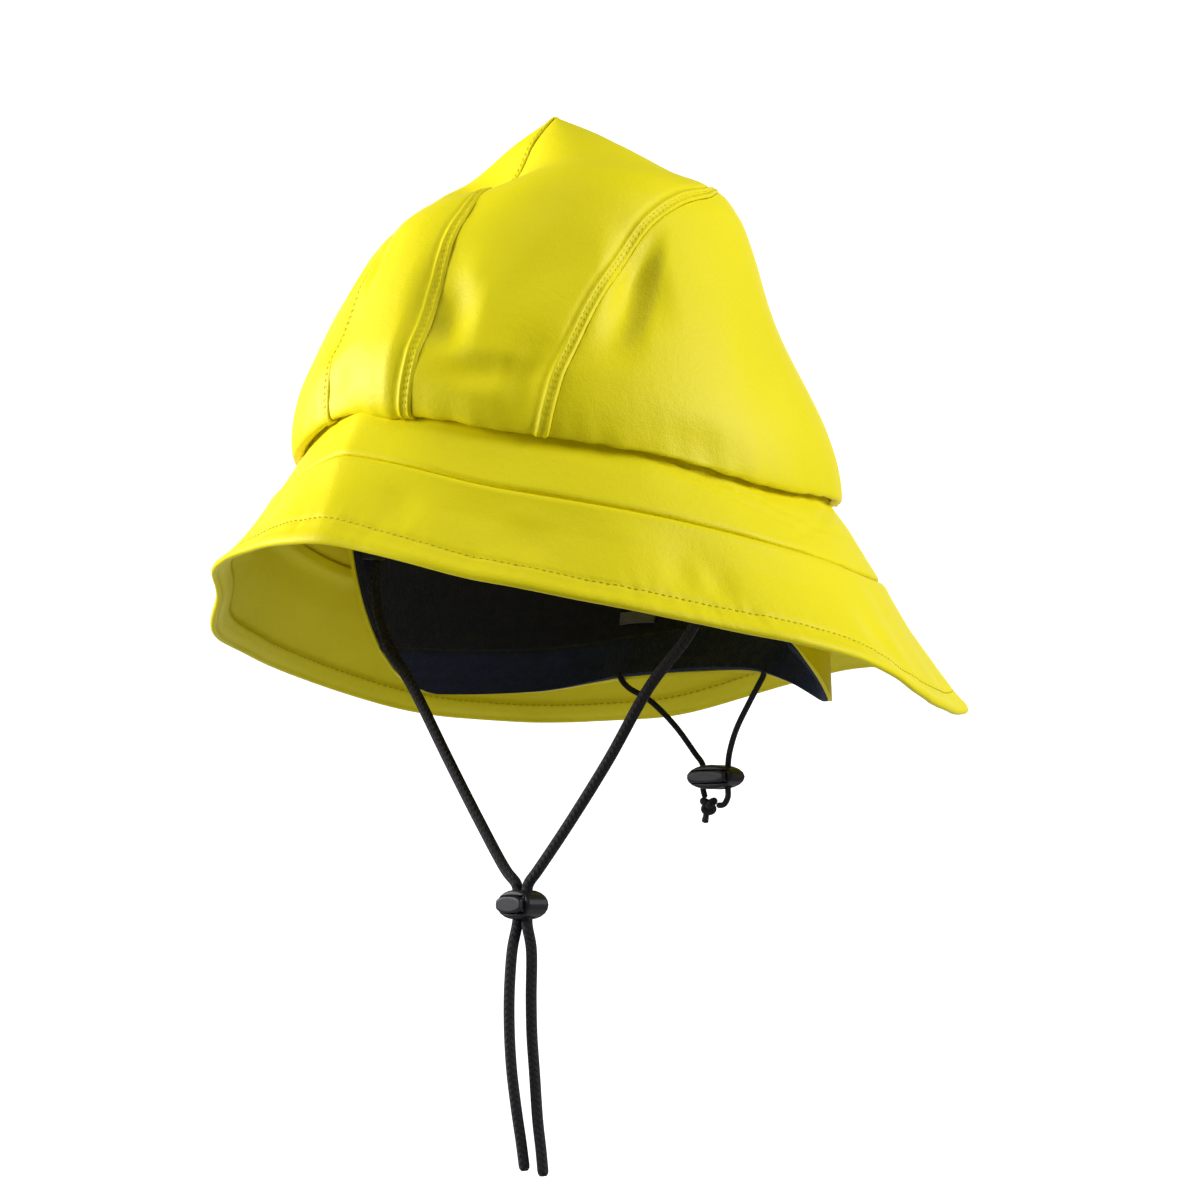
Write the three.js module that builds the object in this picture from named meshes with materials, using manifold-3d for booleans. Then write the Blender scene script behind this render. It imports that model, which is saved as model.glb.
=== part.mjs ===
// A sou'wester rain hat: a boxy crown of four gores, a band, a sloping brim that is short in
// front and long behind, a fleece-lined curtain round the ears and neck, a chin cord with its
// lock, and a thin elastic with a small lock at the nape.
// Millimetres. +Z is up, the front of the hat is towards -Y, and the wearer's left is +X.
// The origin is the middle of the head hollow, a little above the edge of the crown.
// Angles go round the hat in degrees, from 0 at the front to 90 at the wearer's left.
import * as THREE from 'three';
import Module from 'manifold-3d';
import { mergeVertices } from 'three/addons/utils/BufferGeometryUtils.js';

const wasm = await Module();
wasm.setup();

// Cloth and gaps
const WALL = 1.5;              // rain cloth
const LINING_WALL = 1.5;       // fleece
const HEM_WALL = 2.6;          // the turned hem of the brim
const GAP = 0.3;               // between pieces that are sewn or pressed together

// Crown
const CROWN_HALF_WIDTH = 98;
const CROWN_HALF_LENGTH = 109;
const CROWN_EDGE_Z = -9;       // height of the crown's edge at the back
const CROWN_RISE = 146;        // from that edge to the top
const FRONT_LIFT = 28;         // how far the edge rises towards the front
const GORE_PUFF = 2.2;         // how far each gore swells between its seams
const PUFF_SHARE = 0.7;        // the part of a gore's length that swells
const GORE_END_SHARE = 0.985;  // where the gores stop short of their meeting point

// Band and brim
const BAND_EASE = 0.8;         // the band's top inside the crown's turned edge
const BAND_TUCK = 6;           // how far the band runs up behind that edge
const BAND_SHARE = 0.37;       // the part of the brim's drop that is band
const BRIM_REACH = 45;         // outwards, at the side
const BRIM_DROP = 66;          // downwards, at the side
const HEM_WIDTH = 7.5;
const HEM_STEP = 2;            // over which the wall thickens to the hem
const WAVE_GROWTH = 1.5;       // how fast the brim's waves grow towards the hem

// Curtain round the ears and neck
const FLAP_TUCK = 4;           // its top below the crown's edge
const FLAP_EASE = 0.7;         // its top inside the band
const FLAP_BOTTOM_RADIUS = 99;
const FLAP_BOTTOM_Z = -76;
const FLAP_BEND = 2.2;         // it keeps upright at the top and turns in towards the bottom
const LABEL_WIDTH = 15.5;
const LABEL_HEIGHT = 5;
const LABEL_THICK = 0.7;
const LABEL_EASE = 0.4;
const LABEL_ANGLE = 205;
const LABEL_Z = -49;

// Cords
const CHIN_CORD = 4.2;         // diameter
const NECK_CORD = 2.3;
const CORD_EASE = 0.35;        // round a cord in its lock
const TAB_WIDTH = 11;
const TAB_HEIGHT = 14;
const TAB_THICK = 5;
const TAB_ANGLE = 80;
const TAB_Z = -20;

// Cord locks. Each has its cords side by side along X and its button in front.
const CHIN_LOCK = {
  cord: CHIN_CORD, spacing: 4.5, height: 11, stickOut: 2.6, travel: 2,
  at: new THREE.Vector3(0, -26, -160),
};
const NECK_LOCK = {
  cord: NECK_CORD, spacing: 12.6, height: 9.5, stickOut: 2.2, travel: 1.6,
  at: new THREE.Vector3(0, 84.5, -110.2),
};
const LOCK_WALL = 1.2;
const LOCK_FORK = 1.0;         // thickness of the button's two legs
const KNOT_SIZE = 6.5;
const KNOT_TAIL = 5;           // length of each cut end

// The rise of the crown. up is the way along the cloth from the edge to the top; high is a
// share of CROWN_RISE; wide is a share of the half width and half length; back is a share of
// CROWN_HALF_LENGTH by which the section sits behind the middle.
const CROWN_ROWS = [
  { up: 0.00, high: 0.012, wide: 0.965, back: 0.00 },
  { up: 0.03, high: 0.005, wide: 1.000, back: 0.00 },
  { up: 0.08, high: 0.085, wide: 0.995, back: -0.01 },
  { up: 0.14, high: 0.180, wide: 0.960, back: -0.02 },
  { up: 0.21, high: 0.270, wide: 0.912, back: -0.02 },
  { up: 0.31, high: 0.400, wide: 0.835, back: -0.02 },
  { up: 0.43, high: 0.535, wide: 0.748, back: -0.01 },
  { up: 0.54, high: 0.665, wide: 0.660, back: 0.01 },
  { up: 0.61, high: 0.750, wide: 0.598, back: 0.03 },
  { up: 0.66, high: 0.800, wide: 0.535, back: 0.05 },
  { up: 0.74, high: 0.846, wide: 0.425, back: 0.06 },
  { up: 0.87, high: 0.935, wide: 0.215, back: 0.00 },
  { up: 1.00, high: 1.000, wide: 0.000, back: -0.07 },
];

// The seams of the crown: the angle of each at its way up the cloth.
const SEAM_ROWS = [
  { up: 0.000, front: 10.5, left: 37, right: -11 },
  { up: 0.170, front: 12, left: 43, right: -15 },
  { up: 0.308, front: 11.5, left: 50, right: -17 },
  { up: 0.435, front: 11, left: 59, right: -19 },
  { up: 0.525, front: 11, left: 68, right: -25 },
  { up: 0.597, front: 9, left: 84, right: -36 },
  { up: 0.634, front: 7.5, left: 104, right: -58 },
  { up: 0.660, front: 6, left: 118, right: -88 },
  { up: 0.685, front: 4, left: 137, right: -122 },
  { up: 0.700, front: 2, left: 157, right: -152 },
];
const SEAM_MEET_SHARE = 0.705; // where all four gores meet, at the back of the top

// Dents in the crown: wide and tall are the half sizes of each, in degrees and in way up.
const DENT_ROWS = [
  { angle: 12, up: 0.30, wide: 9, tall: 0.16, deep: 3.0 },
  { angle: 62, up: 0.40, wide: 12, tall: 0.16, deep: 3.4 },
  { angle: -14, up: 0.24, wide: 10, tall: 0.12, deep: 2.4 },
  { angle: -32, up: 0.42, wide: 8, tall: 0.10, deep: 4.0 },
  { angle: 134, up: 0.36, wide: 42, tall: 0.26, deep: 4.0 },
  { angle: -110, up: 0.34, wide: 26, tall: 0.22, deep: 4.0 },
  { angle: -15, up: 0.73, wide: 58, tall: 0.27, deep: 14.8 },
  { angle: -96, up: 0.79, wide: 42, tall: 0.19, deep: 8.4 },
  { angle: 118, up: 0.85, wide: 40, tall: 0.15, deep: 6.2 },
];

// Round the hat, the same on both sides: lift is a share of FRONT_LIFT, reach of BRIM_REACH
// and drop of BRIM_DROP.
const BRIM_ROWS = [
  { angle: 0, lift: 1.00, reach: 0.76, drop: 0.77 },
  { angle: 30, lift: 0.65, reach: 0.74, drop: 0.85 },
  { angle: 60, lift: 0.37, reach: 0.77, drop: 0.93 },
  { angle: 90, lift: 0.05, reach: 0.98, drop: 0.98 },
  { angle: 120, lift: 0.00, reach: 0.90, drop: 1.18 },
  { angle: 150, lift: 0.02, reach: 1.20, drop: 1.15 },
  { angle: 180, lift: 0.01, reach: 1.64, drop: 0.83 },
];

// From the band's top to the hem: out and down are shares of the reach and the drop there.
const BRIM_SECTION = [
  { down: 0.00, out: 0.00 },
  { down: 0.12, out: 0.14 },
  { down: 0.37, out: 0.38 },
  { down: 0.60, out: 0.58 },
  { down: 0.82, out: 0.81 },
  { down: 1.00, out: 1.00 },
];

// Waves in the brim, which grow towards the hem: out and low are in millimetres.
const WAVE_ROWS = [
  { angle: -2, wide: 12, out: 3.0, low: 0.0 },
  { angle: -30, wide: 32, out: 1.0, low: -13.0 },
  { angle: -41, wide: 16, out: -6.2, low: 0.0 },
  { angle: -57, wide: 16, out: 3.2, low: 0.0 },
  { angle: -80, wide: 40, out: 0.0, low: -3.0 },
  { angle: -128, wide: 36, out: 0.0, low: -3.5 },
  { angle: 66, wide: 14, out: -2.0, low: 0.0 },
  { angle: 100, wide: 16, out: 2.0, low: 1.0 },
];

// The curtain from the left temple round the back to the right temple. reach is a share of
// FLAP_BOTTOM_RADIUS at the bottom edge, and sink is the bottom edge's way below FLAP_BOTTOM_Z.
const FLAP_ROWS = [
  { angle: 70, reach: 0.97, sink: 2 },
  { angle: 95, reach: 0.99, sink: 4 },
  { angle: 118, reach: 1.00, sink: 7 },
  { angle: 134, reach: 0.99, sink: 7 },
  { angle: 146, reach: 0.88, sink: 0 },
  { angle: 156, reach: 0.80, sink: -4 },
  { angle: 180, reach: 0.76, sink: -5 },
  { angle: 204, reach: 0.80, sink: -4 },
  { angle: 214, reach: 0.90, sink: -3 },
  { angle: 230, reach: 0.98, sink: 0 },
  { angle: 262, reach: 1.00, sink: 1 },
  { angle: 290, reach: 0.97, sink: 0 },
];
const FLAP_MIDDLE = 180;
const FLAP_TOP_SPREAD = 107;   // degrees to each side of the middle, at the top edge
const FLAP_CORNER_LEFT = 50;   // degrees by which the rounded corners cut back the bottom
const FLAP_CORNER_RIGHT = 25;
const LINING_INSET = 0.5;       // the lining's edge inside the shell's, in degrees

// The cords' routes, from the cloth through the lock to the free end or the knot.
const CHIN_LEFT_ROUTE = [
  [85.6, -15.1, -27.4], [85.8, -15.6, -35], [83.8, -16.6, -46], [76.4, -18.6, -61], [59.0, -21, -80],
  [40.2, -23, -107], [22.6, -25, -130], [7.6, -26, -147.5], [3.1, -26, -152.2],
  [2.25, -26, -155], [2.25, -26, -165], [2.3, -25.8, -168], [2.6, -24.0, -176], [2.6, -24.0, -195], [2.6, -23.6, -208],
  [2.8, -22.4, -222], [3.0, -20.8, -240], [3.2, -19.2, -251], [3.3, -18.0, -260.5],
];
const CHIN_RIGHT_ROUTE = [
  [-85.6, -15.1, -27.4], [-85.8, -15.6, -35], [-84.2, -16.6, -45], [-77.0, -18.6, -59],
  [-60.2, -21, -78.5], [-40.8, -23, -105], [-22.5, -25, -129], [-8.0, -26, -147.5],
  [-3.1, -26, -152.2], [-2.25, -26, -155], [-2.25, -26, -165], [-2.4, -26.4, -168],
  [-2.6, -28.6, -176],
  [-2.6, -30.2, -190], [-2.6, -30.4, -204], [-2.6, -29.2, -220], [-2.6, -26.4, -236],
  [-2.6, -23.8, -248], [-2.6, -21.8, -258.5],
];
const NECK_LEFT_ROUTE = [
  [35.8, 70.8, -72.5], [33.6, 71.0, -75.5], [27.4, 72.4, -82.5], [17.6, 76.2, -92.5],
  [9.6, 81.6, -101], [6.5, 84.4, -105.2], [6.3, 84.5, -110.2], [6.3, 84.5, -115],
  [6.4, 84.3, -118], [4.8, 83.8, -120.8], [1.9, 83.2, -121.2],
];
const NECK_RIGHT_ROUTE = [
  [-35.8, 70.8, -72.5], [-33.0, 71.4, -75.2], [-25.2, 74.4, -80], [-16.2, 79.2, -90],
  [-9.2, 83.2, -101], [-6.5, 84.4, -105.2], [-6.3, 84.5, -110.2], [-6.3, 84.5, -115],
  [-5.0, 84.2, -118],
];
const KNOT_AT = [-2.4, 83.2, -121];

const rad = THREE.MathUtils.degToRad;
const { lerp, clamp } = THREE.MathUtils;

// The value of a column between the rows of a table, on a smooth curve that is level at its ends.
function column(rows, key, name, at) {
  const last = rows.length - 1;
  const x = clamp(at, rows[0][key], rows[last][key]);
  let i = 0;
  while (i < last - 1 && x > rows[i + 1][key]) i += 1;
  const slope = (k) => {
    if (k === 0 || k === last) return 0;
    return (rows[k + 1][name] - rows[k - 1][name]) / (rows[k + 1][key] - rows[k - 1][key]);
  };
  const step = rows[i + 1][key] - rows[i][key];
  const t = (x - rows[i][key]) / step;
  const a = rows[i][name];
  const b = rows[i + 1][name];
  return a * (1 + 2 * t) * (1 - t) ** 2 + slope(i) * step * t * (1 - t) ** 2
    + b * t * t * (3 - 2 * t) + slope(i + 1) * step * t * t * (t - 1);
}

// The same between rows on straight lines.
function straight(rows, key, name, at) {
  let i = 0;
  while (i < rows.length - 2 && at > rows[i + 1][key]) i += 1;
  const t = (at - rows[i][key]) / (rows[i + 1][key] - rows[i][key]);
  return lerp(rows[i][name], rows[i + 1][name], clamp(t, 0, 1));
}

// An angle brought between -180 and 180.
function wrap(angle) {
  return angle - 360 * Math.round(angle / 360);
}

const around = (name, angle) => column(BRIM_ROWS, 'angle', name, Math.abs(wrap(angle)));

// A hump of height 1 that is wide degrees or shares to each side.
function hump(offset, wide) {
  const t = Math.abs(offset) / wide;
  return t >= 1 ? 0 : 0.5 + 0.5 * Math.cos(Math.PI * t);
}

const polar = (angle, radius, z) => new THREE.Vector3(
  radius * Math.sin(rad(angle)), -radius * Math.cos(rad(angle)), z);

// The crown's edge in plan is an ellipse.
function crownRadius(angle) {
  return 1 / Math.hypot(Math.sin(rad(angle)) / CROWN_HALF_WIDTH,
    Math.cos(rad(angle)) / CROWN_HALF_LENGTH);
}

const crownEdgeZ = (angle) => CROWN_EDGE_Z + FRONT_LIFT * around('lift', angle);

// Closed solids

function solid(name, points, triangles, material) {
  const geometry = new THREE.BufferGeometry();
  const flat = points.flatMap((p) => [p.x, p.y, p.z]);
  let volume = 0;
  for (const [a, b, c] of triangles) {
    volume += points[a].dot(new THREE.Vector3().crossVectors(points[b], points[c]));
  }
  const facing = volume > 0 ? triangles : triangles.map(([a, b, c]) => [a, c, b]);
  geometry.setAttribute('position', new THREE.Float32BufferAttribute(flat, 3));
  geometry.setIndex(facing.flat());
  geometry.computeVertexNormals();
  const mesh = new THREE.Mesh(geometry, material);
  mesh.name = name;
  return mesh;
}

// A wall between two grids of points of the same size, closed round its four edges.
function wallSolid(name, outer, inner, material) {
  const rows = outer.length;
  const cols = outer[0].length;
  const points = [...outer.flat(), ...inner.flat()];
  const at = (side, i, j) => side * rows * cols + i * cols + j;
  const triangles = [];
  const quad = (a, b, c, d) => triangles.push([a, b, c], [a, c, d]);
  for (let i = 0; i < rows - 1; i += 1) {
    for (let j = 0; j < cols - 1; j += 1) {
      quad(at(0, i, j), at(0, i, j + 1), at(0, i + 1, j + 1), at(0, i + 1, j));
      quad(at(1, i, j), at(1, i + 1, j), at(1, i + 1, j + 1), at(1, i, j + 1));
    }
  }
  for (let j = 0; j < cols - 1; j += 1) {
    quad(at(0, 0, j), at(1, 0, j), at(1, 0, j + 1), at(0, 0, j + 1));
    quad(at(0, rows - 1, j), at(0, rows - 1, j + 1), at(1, rows - 1, j + 1), at(1, rows - 1, j));
  }
  for (let i = 0; i < rows - 1; i += 1) {
    quad(at(0, i, 0), at(0, i + 1, 0), at(1, i + 1, 0), at(1, i, 0));
    quad(at(0, i, cols - 1), at(1, i, cols - 1), at(1, i + 1, cols - 1), at(0, i + 1, cols - 1));
  }
  return solid(name, points, triangles, material);
}

// A ring whose closed section, a list of points, is given at each angle.
function ringSolid(name, sectionAt, steps, material) {
  const sections = [];
  for (let i = 0; i < steps; i += 1) sections.push(sectionAt(-180 + (360 * i) / steps));
  const count = sections[0].length;
  const triangles = [];
  for (let i = 0; i < steps; i += 1) {
    const next = (i + 1) % steps;
    for (let j = 0; j < count; j += 1) {
      const k = (j + 1) % count;
      triangles.push([i * count + j, i * count + k, next * count + k]);
      triangles.push([i * count + j, next * count + k, next * count + j]);
    }
  }
  return solid(name, sections.flat(), triangles, material);
}

function cloth(color, roughness = 0.62) {
  return new THREE.MeshStandardMaterial({ color, roughness, metalness: 0, side: THREE.DoubleSide });
}

const YELLOW = 0xe6dc14;
const NAVY = 0x181b26;
const GREY = 0x4c4f58;
const BLACK = 0x16171c;

const hat = new THREE.Group();

// Crown. The dome is unrolled on a flat disc of radius 1: its edge is the crown's edge and its
// middle is the top. A seam is a curve on the disc, and a gore is what lies between two seams.

const onDisc = (angle, up) => new THREE.Vector2(
  (1 - up) * Math.sin(rad(angle)), -(1 - up) * Math.cos(rad(angle)));

const seamPoints = (name) => SEAM_ROWS.map((row) => onDisc(row[name], row.up));
const meeting = onDisc(180, SEAM_MEET_SHARE);
const seamLeft = new THREE.SplineCurve([...seamPoints('left'), meeting]);
const seamRight = new THREE.SplineCurve([...seamPoints('right'), meeting]);
const seamFront = new THREE.SplineCurve([
  ...seamPoints('front'), onDisc(0, 0.85), onDisc(180, 1), onDisc(180, 0.85), meeting]);
const seamBack = new THREE.SplineCurve([onDisc(180, 0), onDisc(180, 0.3), meeting]);

function dentAt(angle, up) {
  let deep = 0;
  for (const dent of DENT_ROWS) {
    deep += dent.deep * hump(wrap(angle - dent.angle), dent.wide) * hump(up - dent.up, dent.tall);
  }
  return deep;
}

// Every gore has the same steps along its seams, so neighbours meet edge to edge.
const GORE_STEPS = 20;

// A point of the dome, moved in by the given depth along the cloth's inward normal.
function domePoint(disc, inward) {
  const up = 1 - Math.min(1, disc.length());
  const angle = THREE.MathUtils.radToDeg(Math.atan2(disc.x, -disc.y));
  const radiusAt = (u) => column(CROWN_ROWS, 'up', 'wide', u) * crownRadius(angle);
  const edge = crownEdgeZ(angle);
  const rise = CROWN_EDGE_Z + CROWN_RISE - edge;
  const zAt = (u) => edge + rise * column(CROWN_ROWS, 'up', 'high', u);
  const step = 0.02;
  const low = Math.max(0, up - step);
  const high = Math.min(1, up + step);
  const run = new THREE.Vector2(radiusAt(high) - radiusAt(low), zAt(high) - zAt(low)).normalize();
  const radius = radiusAt(up) - run.y * inward;
  const z = zAt(up) + run.x * inward;
  const point = polar(angle, Math.max(radius, 0), z);
  point.y += CROWN_HALF_LENGTH * column(CROWN_ROWS, 'up', 'back', up);
  return point;
}

// One gore between two seams, with its lower edge along the crown's edge.
function gore(name, seamA, seamB, across, material) {
  const along = GORE_STEPS;
  const half = GAP / 2 / CROWN_HALF_WIDTH;
  const shifted = (seam, v, side) => {
    const p = seam.getPointAt(v);
    const t = seam.getTangentAt(v);
    return p.add(new THREE.Vector2(-t.y, t.x).multiplyScalar(side * half));
  };
  const a0 = shifted(seamA, 0, -1);
  const b0 = shifted(seamB, 0, 1);
  const angleOf = (p) => (THREE.MathUtils.radToDeg(Math.atan2(p.x, -p.y)) + 360) % 360;
  const startAngle = angleOf(a0);
  const sweep = (angleOf(b0) - startAngle + 360) % 360;
  const outer = [];
  const inner = [];
  for (let i = 0; i <= along; i += 1) {
    const v = (GORE_END_SHARE * i) / along;
    const a = shifted(seamA, v, -1);
    const b = shifted(seamB, v, 1);
    outer.push([]);
    inner.push([]);
    for (let j = 0; j <= across; j += 1) {
      const s = j / across;
      const p = a.clone().lerp(b, s);
      const chord = a0.clone().lerp(b0, s);
      const edge = onDisc(startAngle + sweep * s, 0);
      p.addScaledVector(edge.sub(chord), (1 - v) ** 2);
      const up = 1 - Math.min(1, p.length());
      const angle = THREE.MathUtils.radToDeg(Math.atan2(p.x, -p.y));
      const puff = GORE_PUFF * Math.sin(Math.PI * s)
        * Math.sin(Math.PI * clamp(v / PUFF_SHARE, 0, 1));
      const swell = dentAt(angle, up) - puff;
      outer[i].push(domePoint(p, swell));
      inner[i].push(domePoint(p, swell + WALL));
    }
  }
  return wallSolid(name, outer, inner, material);
}

hat.add(gore('crown_front_left', seamFront, seamLeft, 8, cloth(YELLOW)));
hat.add(gore('crown_front_right', seamRight, seamFront, 8, cloth(YELLOW)));
hat.add(gore('crown_back_left', seamLeft, seamBack, 13, cloth(YELLOW)));
hat.add(gore('crown_back_right', seamBack, seamRight, 15, cloth(YELLOW)));

// Band and brim

function waveAt(name, angle) {
  let sum = 0;
  for (const wave of WAVE_ROWS) sum += wave[name] * hump(wrap(angle - wave.angle), wave.wide);
  return sum;
}

// Where the band's outer face starts, just inside the crown's turned edge.
const bandTopRadius = (angle) => crownRadius(angle) * CROWN_ROWS[0].wide - BAND_EASE;

// A point of the brim's outer face: down is its share of the drop, and inward its depth in it.
function brimPoint(angle, down, inward) {
  const start = bandTopRadius(angle);
  const reach = crownRadius(angle) + BRIM_REACH * around('reach', angle) - start;
  const drop = BRIM_DROP * around('drop', angle);
  const waving = clamp(down - BAND_SHARE / 2, 0, 1) ** WAVE_GROWTH;
  const radiusAt = (q) => start + reach * straight(BRIM_SECTION, 'down', 'out', Math.max(q, 0));
  const step = 0.06;
  const run = new THREE.Vector2(
    radiusAt(down + step) - radiusAt(down - step), -2 * step * drop).normalize();
  const radius = radiusAt(down) + waving * waveAt('out', angle) + run.y * inward;
  const z = crownEdgeZ(angle) - drop * down - waving * waveAt('low', angle) - run.x * inward;
  return polar(angle, radius, z);
}

function brimRing(name, shares, depthAt, material) {
  const section = (angle) => {
    const drop = BRIM_DROP * around('drop', angle);
    const downs = shares.map((share) => (typeof share === 'function' ? share(drop) : share));
    return [
      ...downs.map((down) => brimPoint(angle, down, 0)),
      ...downs.map((down) => brimPoint(angle, down, depthAt(down, drop))).reverse(),
    ];
  };
  return ringSolid(name, section, BRIM_STEPS, material);
}

const BRIM_STEPS = 78;
const BAND_DOWNS = [0, 0.12, BAND_SHARE];
hat.add(brimRing('brim_band', [(drop) => -BAND_TUCK / drop, ...BAND_DOWNS],
  () => WALL, cloth(YELLOW)));
const hemDepth = (down, drop) => (down > 1 - (HEM_WIDTH + HEM_STEP / 2) / drop ? HEM_WALL : WALL);
hat.add(brimRing('brim_skirt', [(drop) => BAND_SHARE + GAP / drop, 0.6,
  (drop) => 1 - (HEM_WIDTH + HEM_STEP) / drop, (drop) => 1 - HEM_WIDTH / drop, 1],
hemDepth, cloth(YELLOW)));

// Curtain

const flapTopZ = (angle) => crownEdgeZ(angle) - FLAP_TUCK;

// The band's inner face at the height of the curtain's top.
function bandInnerRadius(angle) {
  const upper = brimPoint(angle, BAND_DOWNS[0], WALL);
  const lower = brimPoint(angle, BAND_DOWNS[1], WALL);
  const t = (upper.z - flapTopZ(angle)) / (upper.z - lower.z);
  return lerp(Math.hypot(upper.x, upper.y), Math.hypot(lower.x, lower.y), t);
}

// A point of the curtain's outer face: side runs from -1 to 1 and down from 0 to 1.
function flapPoint(side, down, inward) {
  const corner = side < 0 ? FLAP_CORNER_LEFT : FLAP_CORNER_RIGHT;
  const spread = FLAP_TOP_SPREAD - corner * down ** 2;
  return flapAt(FLAP_MIDDLE + side * spread, down, inward);
}

function flapAt(angle, down, inward) {
  const top = bandInnerRadius(angle) - FLAP_EASE;
  const bottom = FLAP_BOTTOM_RADIUS * column(FLAP_ROWS, 'angle', 'reach', angle);
  const topZ = flapTopZ(angle);
  const bottomZ = FLAP_BOTTOM_Z - column(FLAP_ROWS, 'angle', 'sink', angle);
  const radiusAt = (q) => lerp(top, bottom, Math.max(q, 0) ** FLAP_BEND);
  const step = 0.05;
  const run = new THREE.Vector2(radiusAt(down + step) - radiusAt(down - step),
    2 * step * (bottomZ - topZ)).normalize();
  return polar(angle, radiusAt(down) + run.y * inward, lerp(topZ, bottomZ, down) - run.x * inward);
}

// The way down the curtain at which it has a given height.
function flapDown(angle, z) {
  const bottomZ = FLAP_BOTTOM_Z - column(FLAP_ROWS, 'angle', 'sink', angle);
  return (flapTopZ(angle) - z) / (flapTopZ(angle) - bottomZ);
}

const FLAP_STEPS = 38;
const FLAP_DOWN = [0, 0.25, 0.5, 0.7, 0.85, 0.95, 1];

function flapWall(name, depth, wall, inset, material) {
  const grid = (inward) => Array.from({ length: FLAP_STEPS + 1 }, (_, i) => {
    const side = lerp(-1, 1, i / FLAP_STEPS) * (1 - inset / FLAP_TOP_SPREAD);
    return FLAP_DOWN.map((down) => flapPoint(side, down, inward));
  });
  return wallSolid(name, grid(depth), grid(depth + wall), material);
}

const liningDepth = WALL + GAP;
const liningFace = liningDepth + LINING_WALL + GAP;
hat.add(flapWall('neck_flap_shell', 0, WALL, 0, cloth(YELLOW)));
hat.add(flapWall('neck_flap_lining', liningDepth, LINING_WALL, LINING_INSET, cloth(NAVY, 0.95)));

// A small flat piece sewn to the lining's inner face.
function patchOnLining(name, angle, z, width, height, thick, ease, material) {
  const radius = FLAP_BOTTOM_RADIUS;
  const half = THREE.MathUtils.radToDeg(width / 2 / radius);
  const angles = [angle - half, angle, angle + half];
  const heights = [z + height / 2, z, z - height / 2];
  const grid = (inward) => angles.map((a) => heights.map(
    (h) => flapAt(a, flapDown(a, h), inward)));
  const face = liningFace + ease;
  return wallSolid(name, grid(face), grid(face + thick), material);
}

hat.add(patchOnLining('label_tab', LABEL_ANGLE, LABEL_Z, LABEL_WIDTH, LABEL_HEIGHT, LABEL_THICK,
  LABEL_EASE, cloth(GREY, 0.8)));
hat.add(patchOnLining('chin_tab_left', TAB_ANGLE, TAB_Z, TAB_WIDTH, TAB_HEIGHT, TAB_THICK,
  0, cloth(BLACK, 0.9)));
hat.add(patchOnLining('chin_tab_right', 360 - TAB_ANGLE, TAB_Z, TAB_WIDTH, TAB_HEIGHT, TAB_THICK,
  0, cloth(BLACK, 0.9)));

// Cords

// A round cord along a route, with a flat end at each end of it.
function cord(name, route, diameter, sides, steps, material) {
  const path = new THREE.CatmullRomCurve3(route.map((p) => new THREE.Vector3(...p)), false,
    'centripetal');
  const ring = new THREE.Shape(Array.from({ length: sides }, (_, i) => new THREE.Vector2(
    (diameter / 2) * Math.cos((2 * Math.PI * i) / sides),
    (diameter / 2) * Math.sin((2 * Math.PI * i) / sides))));
  const geometry = new THREE.ExtrudeGeometry(ring, { extrudePath: path, steps });
  const mesh = new THREE.Mesh(weld(geometry), material);
  mesh.name = name;
  return mesh;
}

function weld(geometry) {
  const bare = geometry.clone();
  bare.deleteAttribute('normal');
  bare.deleteAttribute('uv');
  const merged = mergeVertices(bare, 1e-4);
  merged.computeVertexNormals();
  return merged;
}

function toManifold(geometry) {
  const merged = weld(geometry);
  return new wasm.Manifold(new wasm.Mesh({
    numProp: 3,
    vertProperties: new Float32Array(merged.attributes.position.array),
    triVerts: new Uint32Array(merged.index.array),
  }));
}

function fromManifold(name, body, material) {
  const { vertProperties, triVerts } = body.getMesh();
  const geometry = new THREE.BufferGeometry();
  geometry.setAttribute('position', new THREE.Float32BufferAttribute(vertProperties, 3));
  geometry.setIndex(Array.from(triVerts));
  geometry.computeVertexNormals();
  const mesh = new THREE.Mesh(geometry, material);
  mesh.name = name;
  return mesh;
}

// Cord locks

// An oval bar along Y from the front to the back, with rounded rims.
function ovalBar(halfWidth, halfHeight, front, back, rim, sides) {
  const oval = new THREE.Shape(Array.from({ length: sides }, (_, i) => new THREE.Vector2(
    (halfWidth - rim) * Math.cos((2 * Math.PI * i) / sides),
    (halfHeight - rim) * Math.sin((2 * Math.PI * i) / sides))));
  const bar = new THREE.ExtrudeGeometry(oval, {
    depth: back - front - 2 * rim, bevelEnabled: rim > 0, bevelThickness: rim, bevelSize: rim,
    bevelSegments: 2,
  });
  bar.rotateX(-Math.PI / 2);
  bar.rotateX(Math.PI);
  return bar.translate(0, back - rim, 0);
}

function block(width, length, height, x, y, z) {
  return new THREE.BoxGeometry(width, length, height).translate(x, y, z);
}

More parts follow.
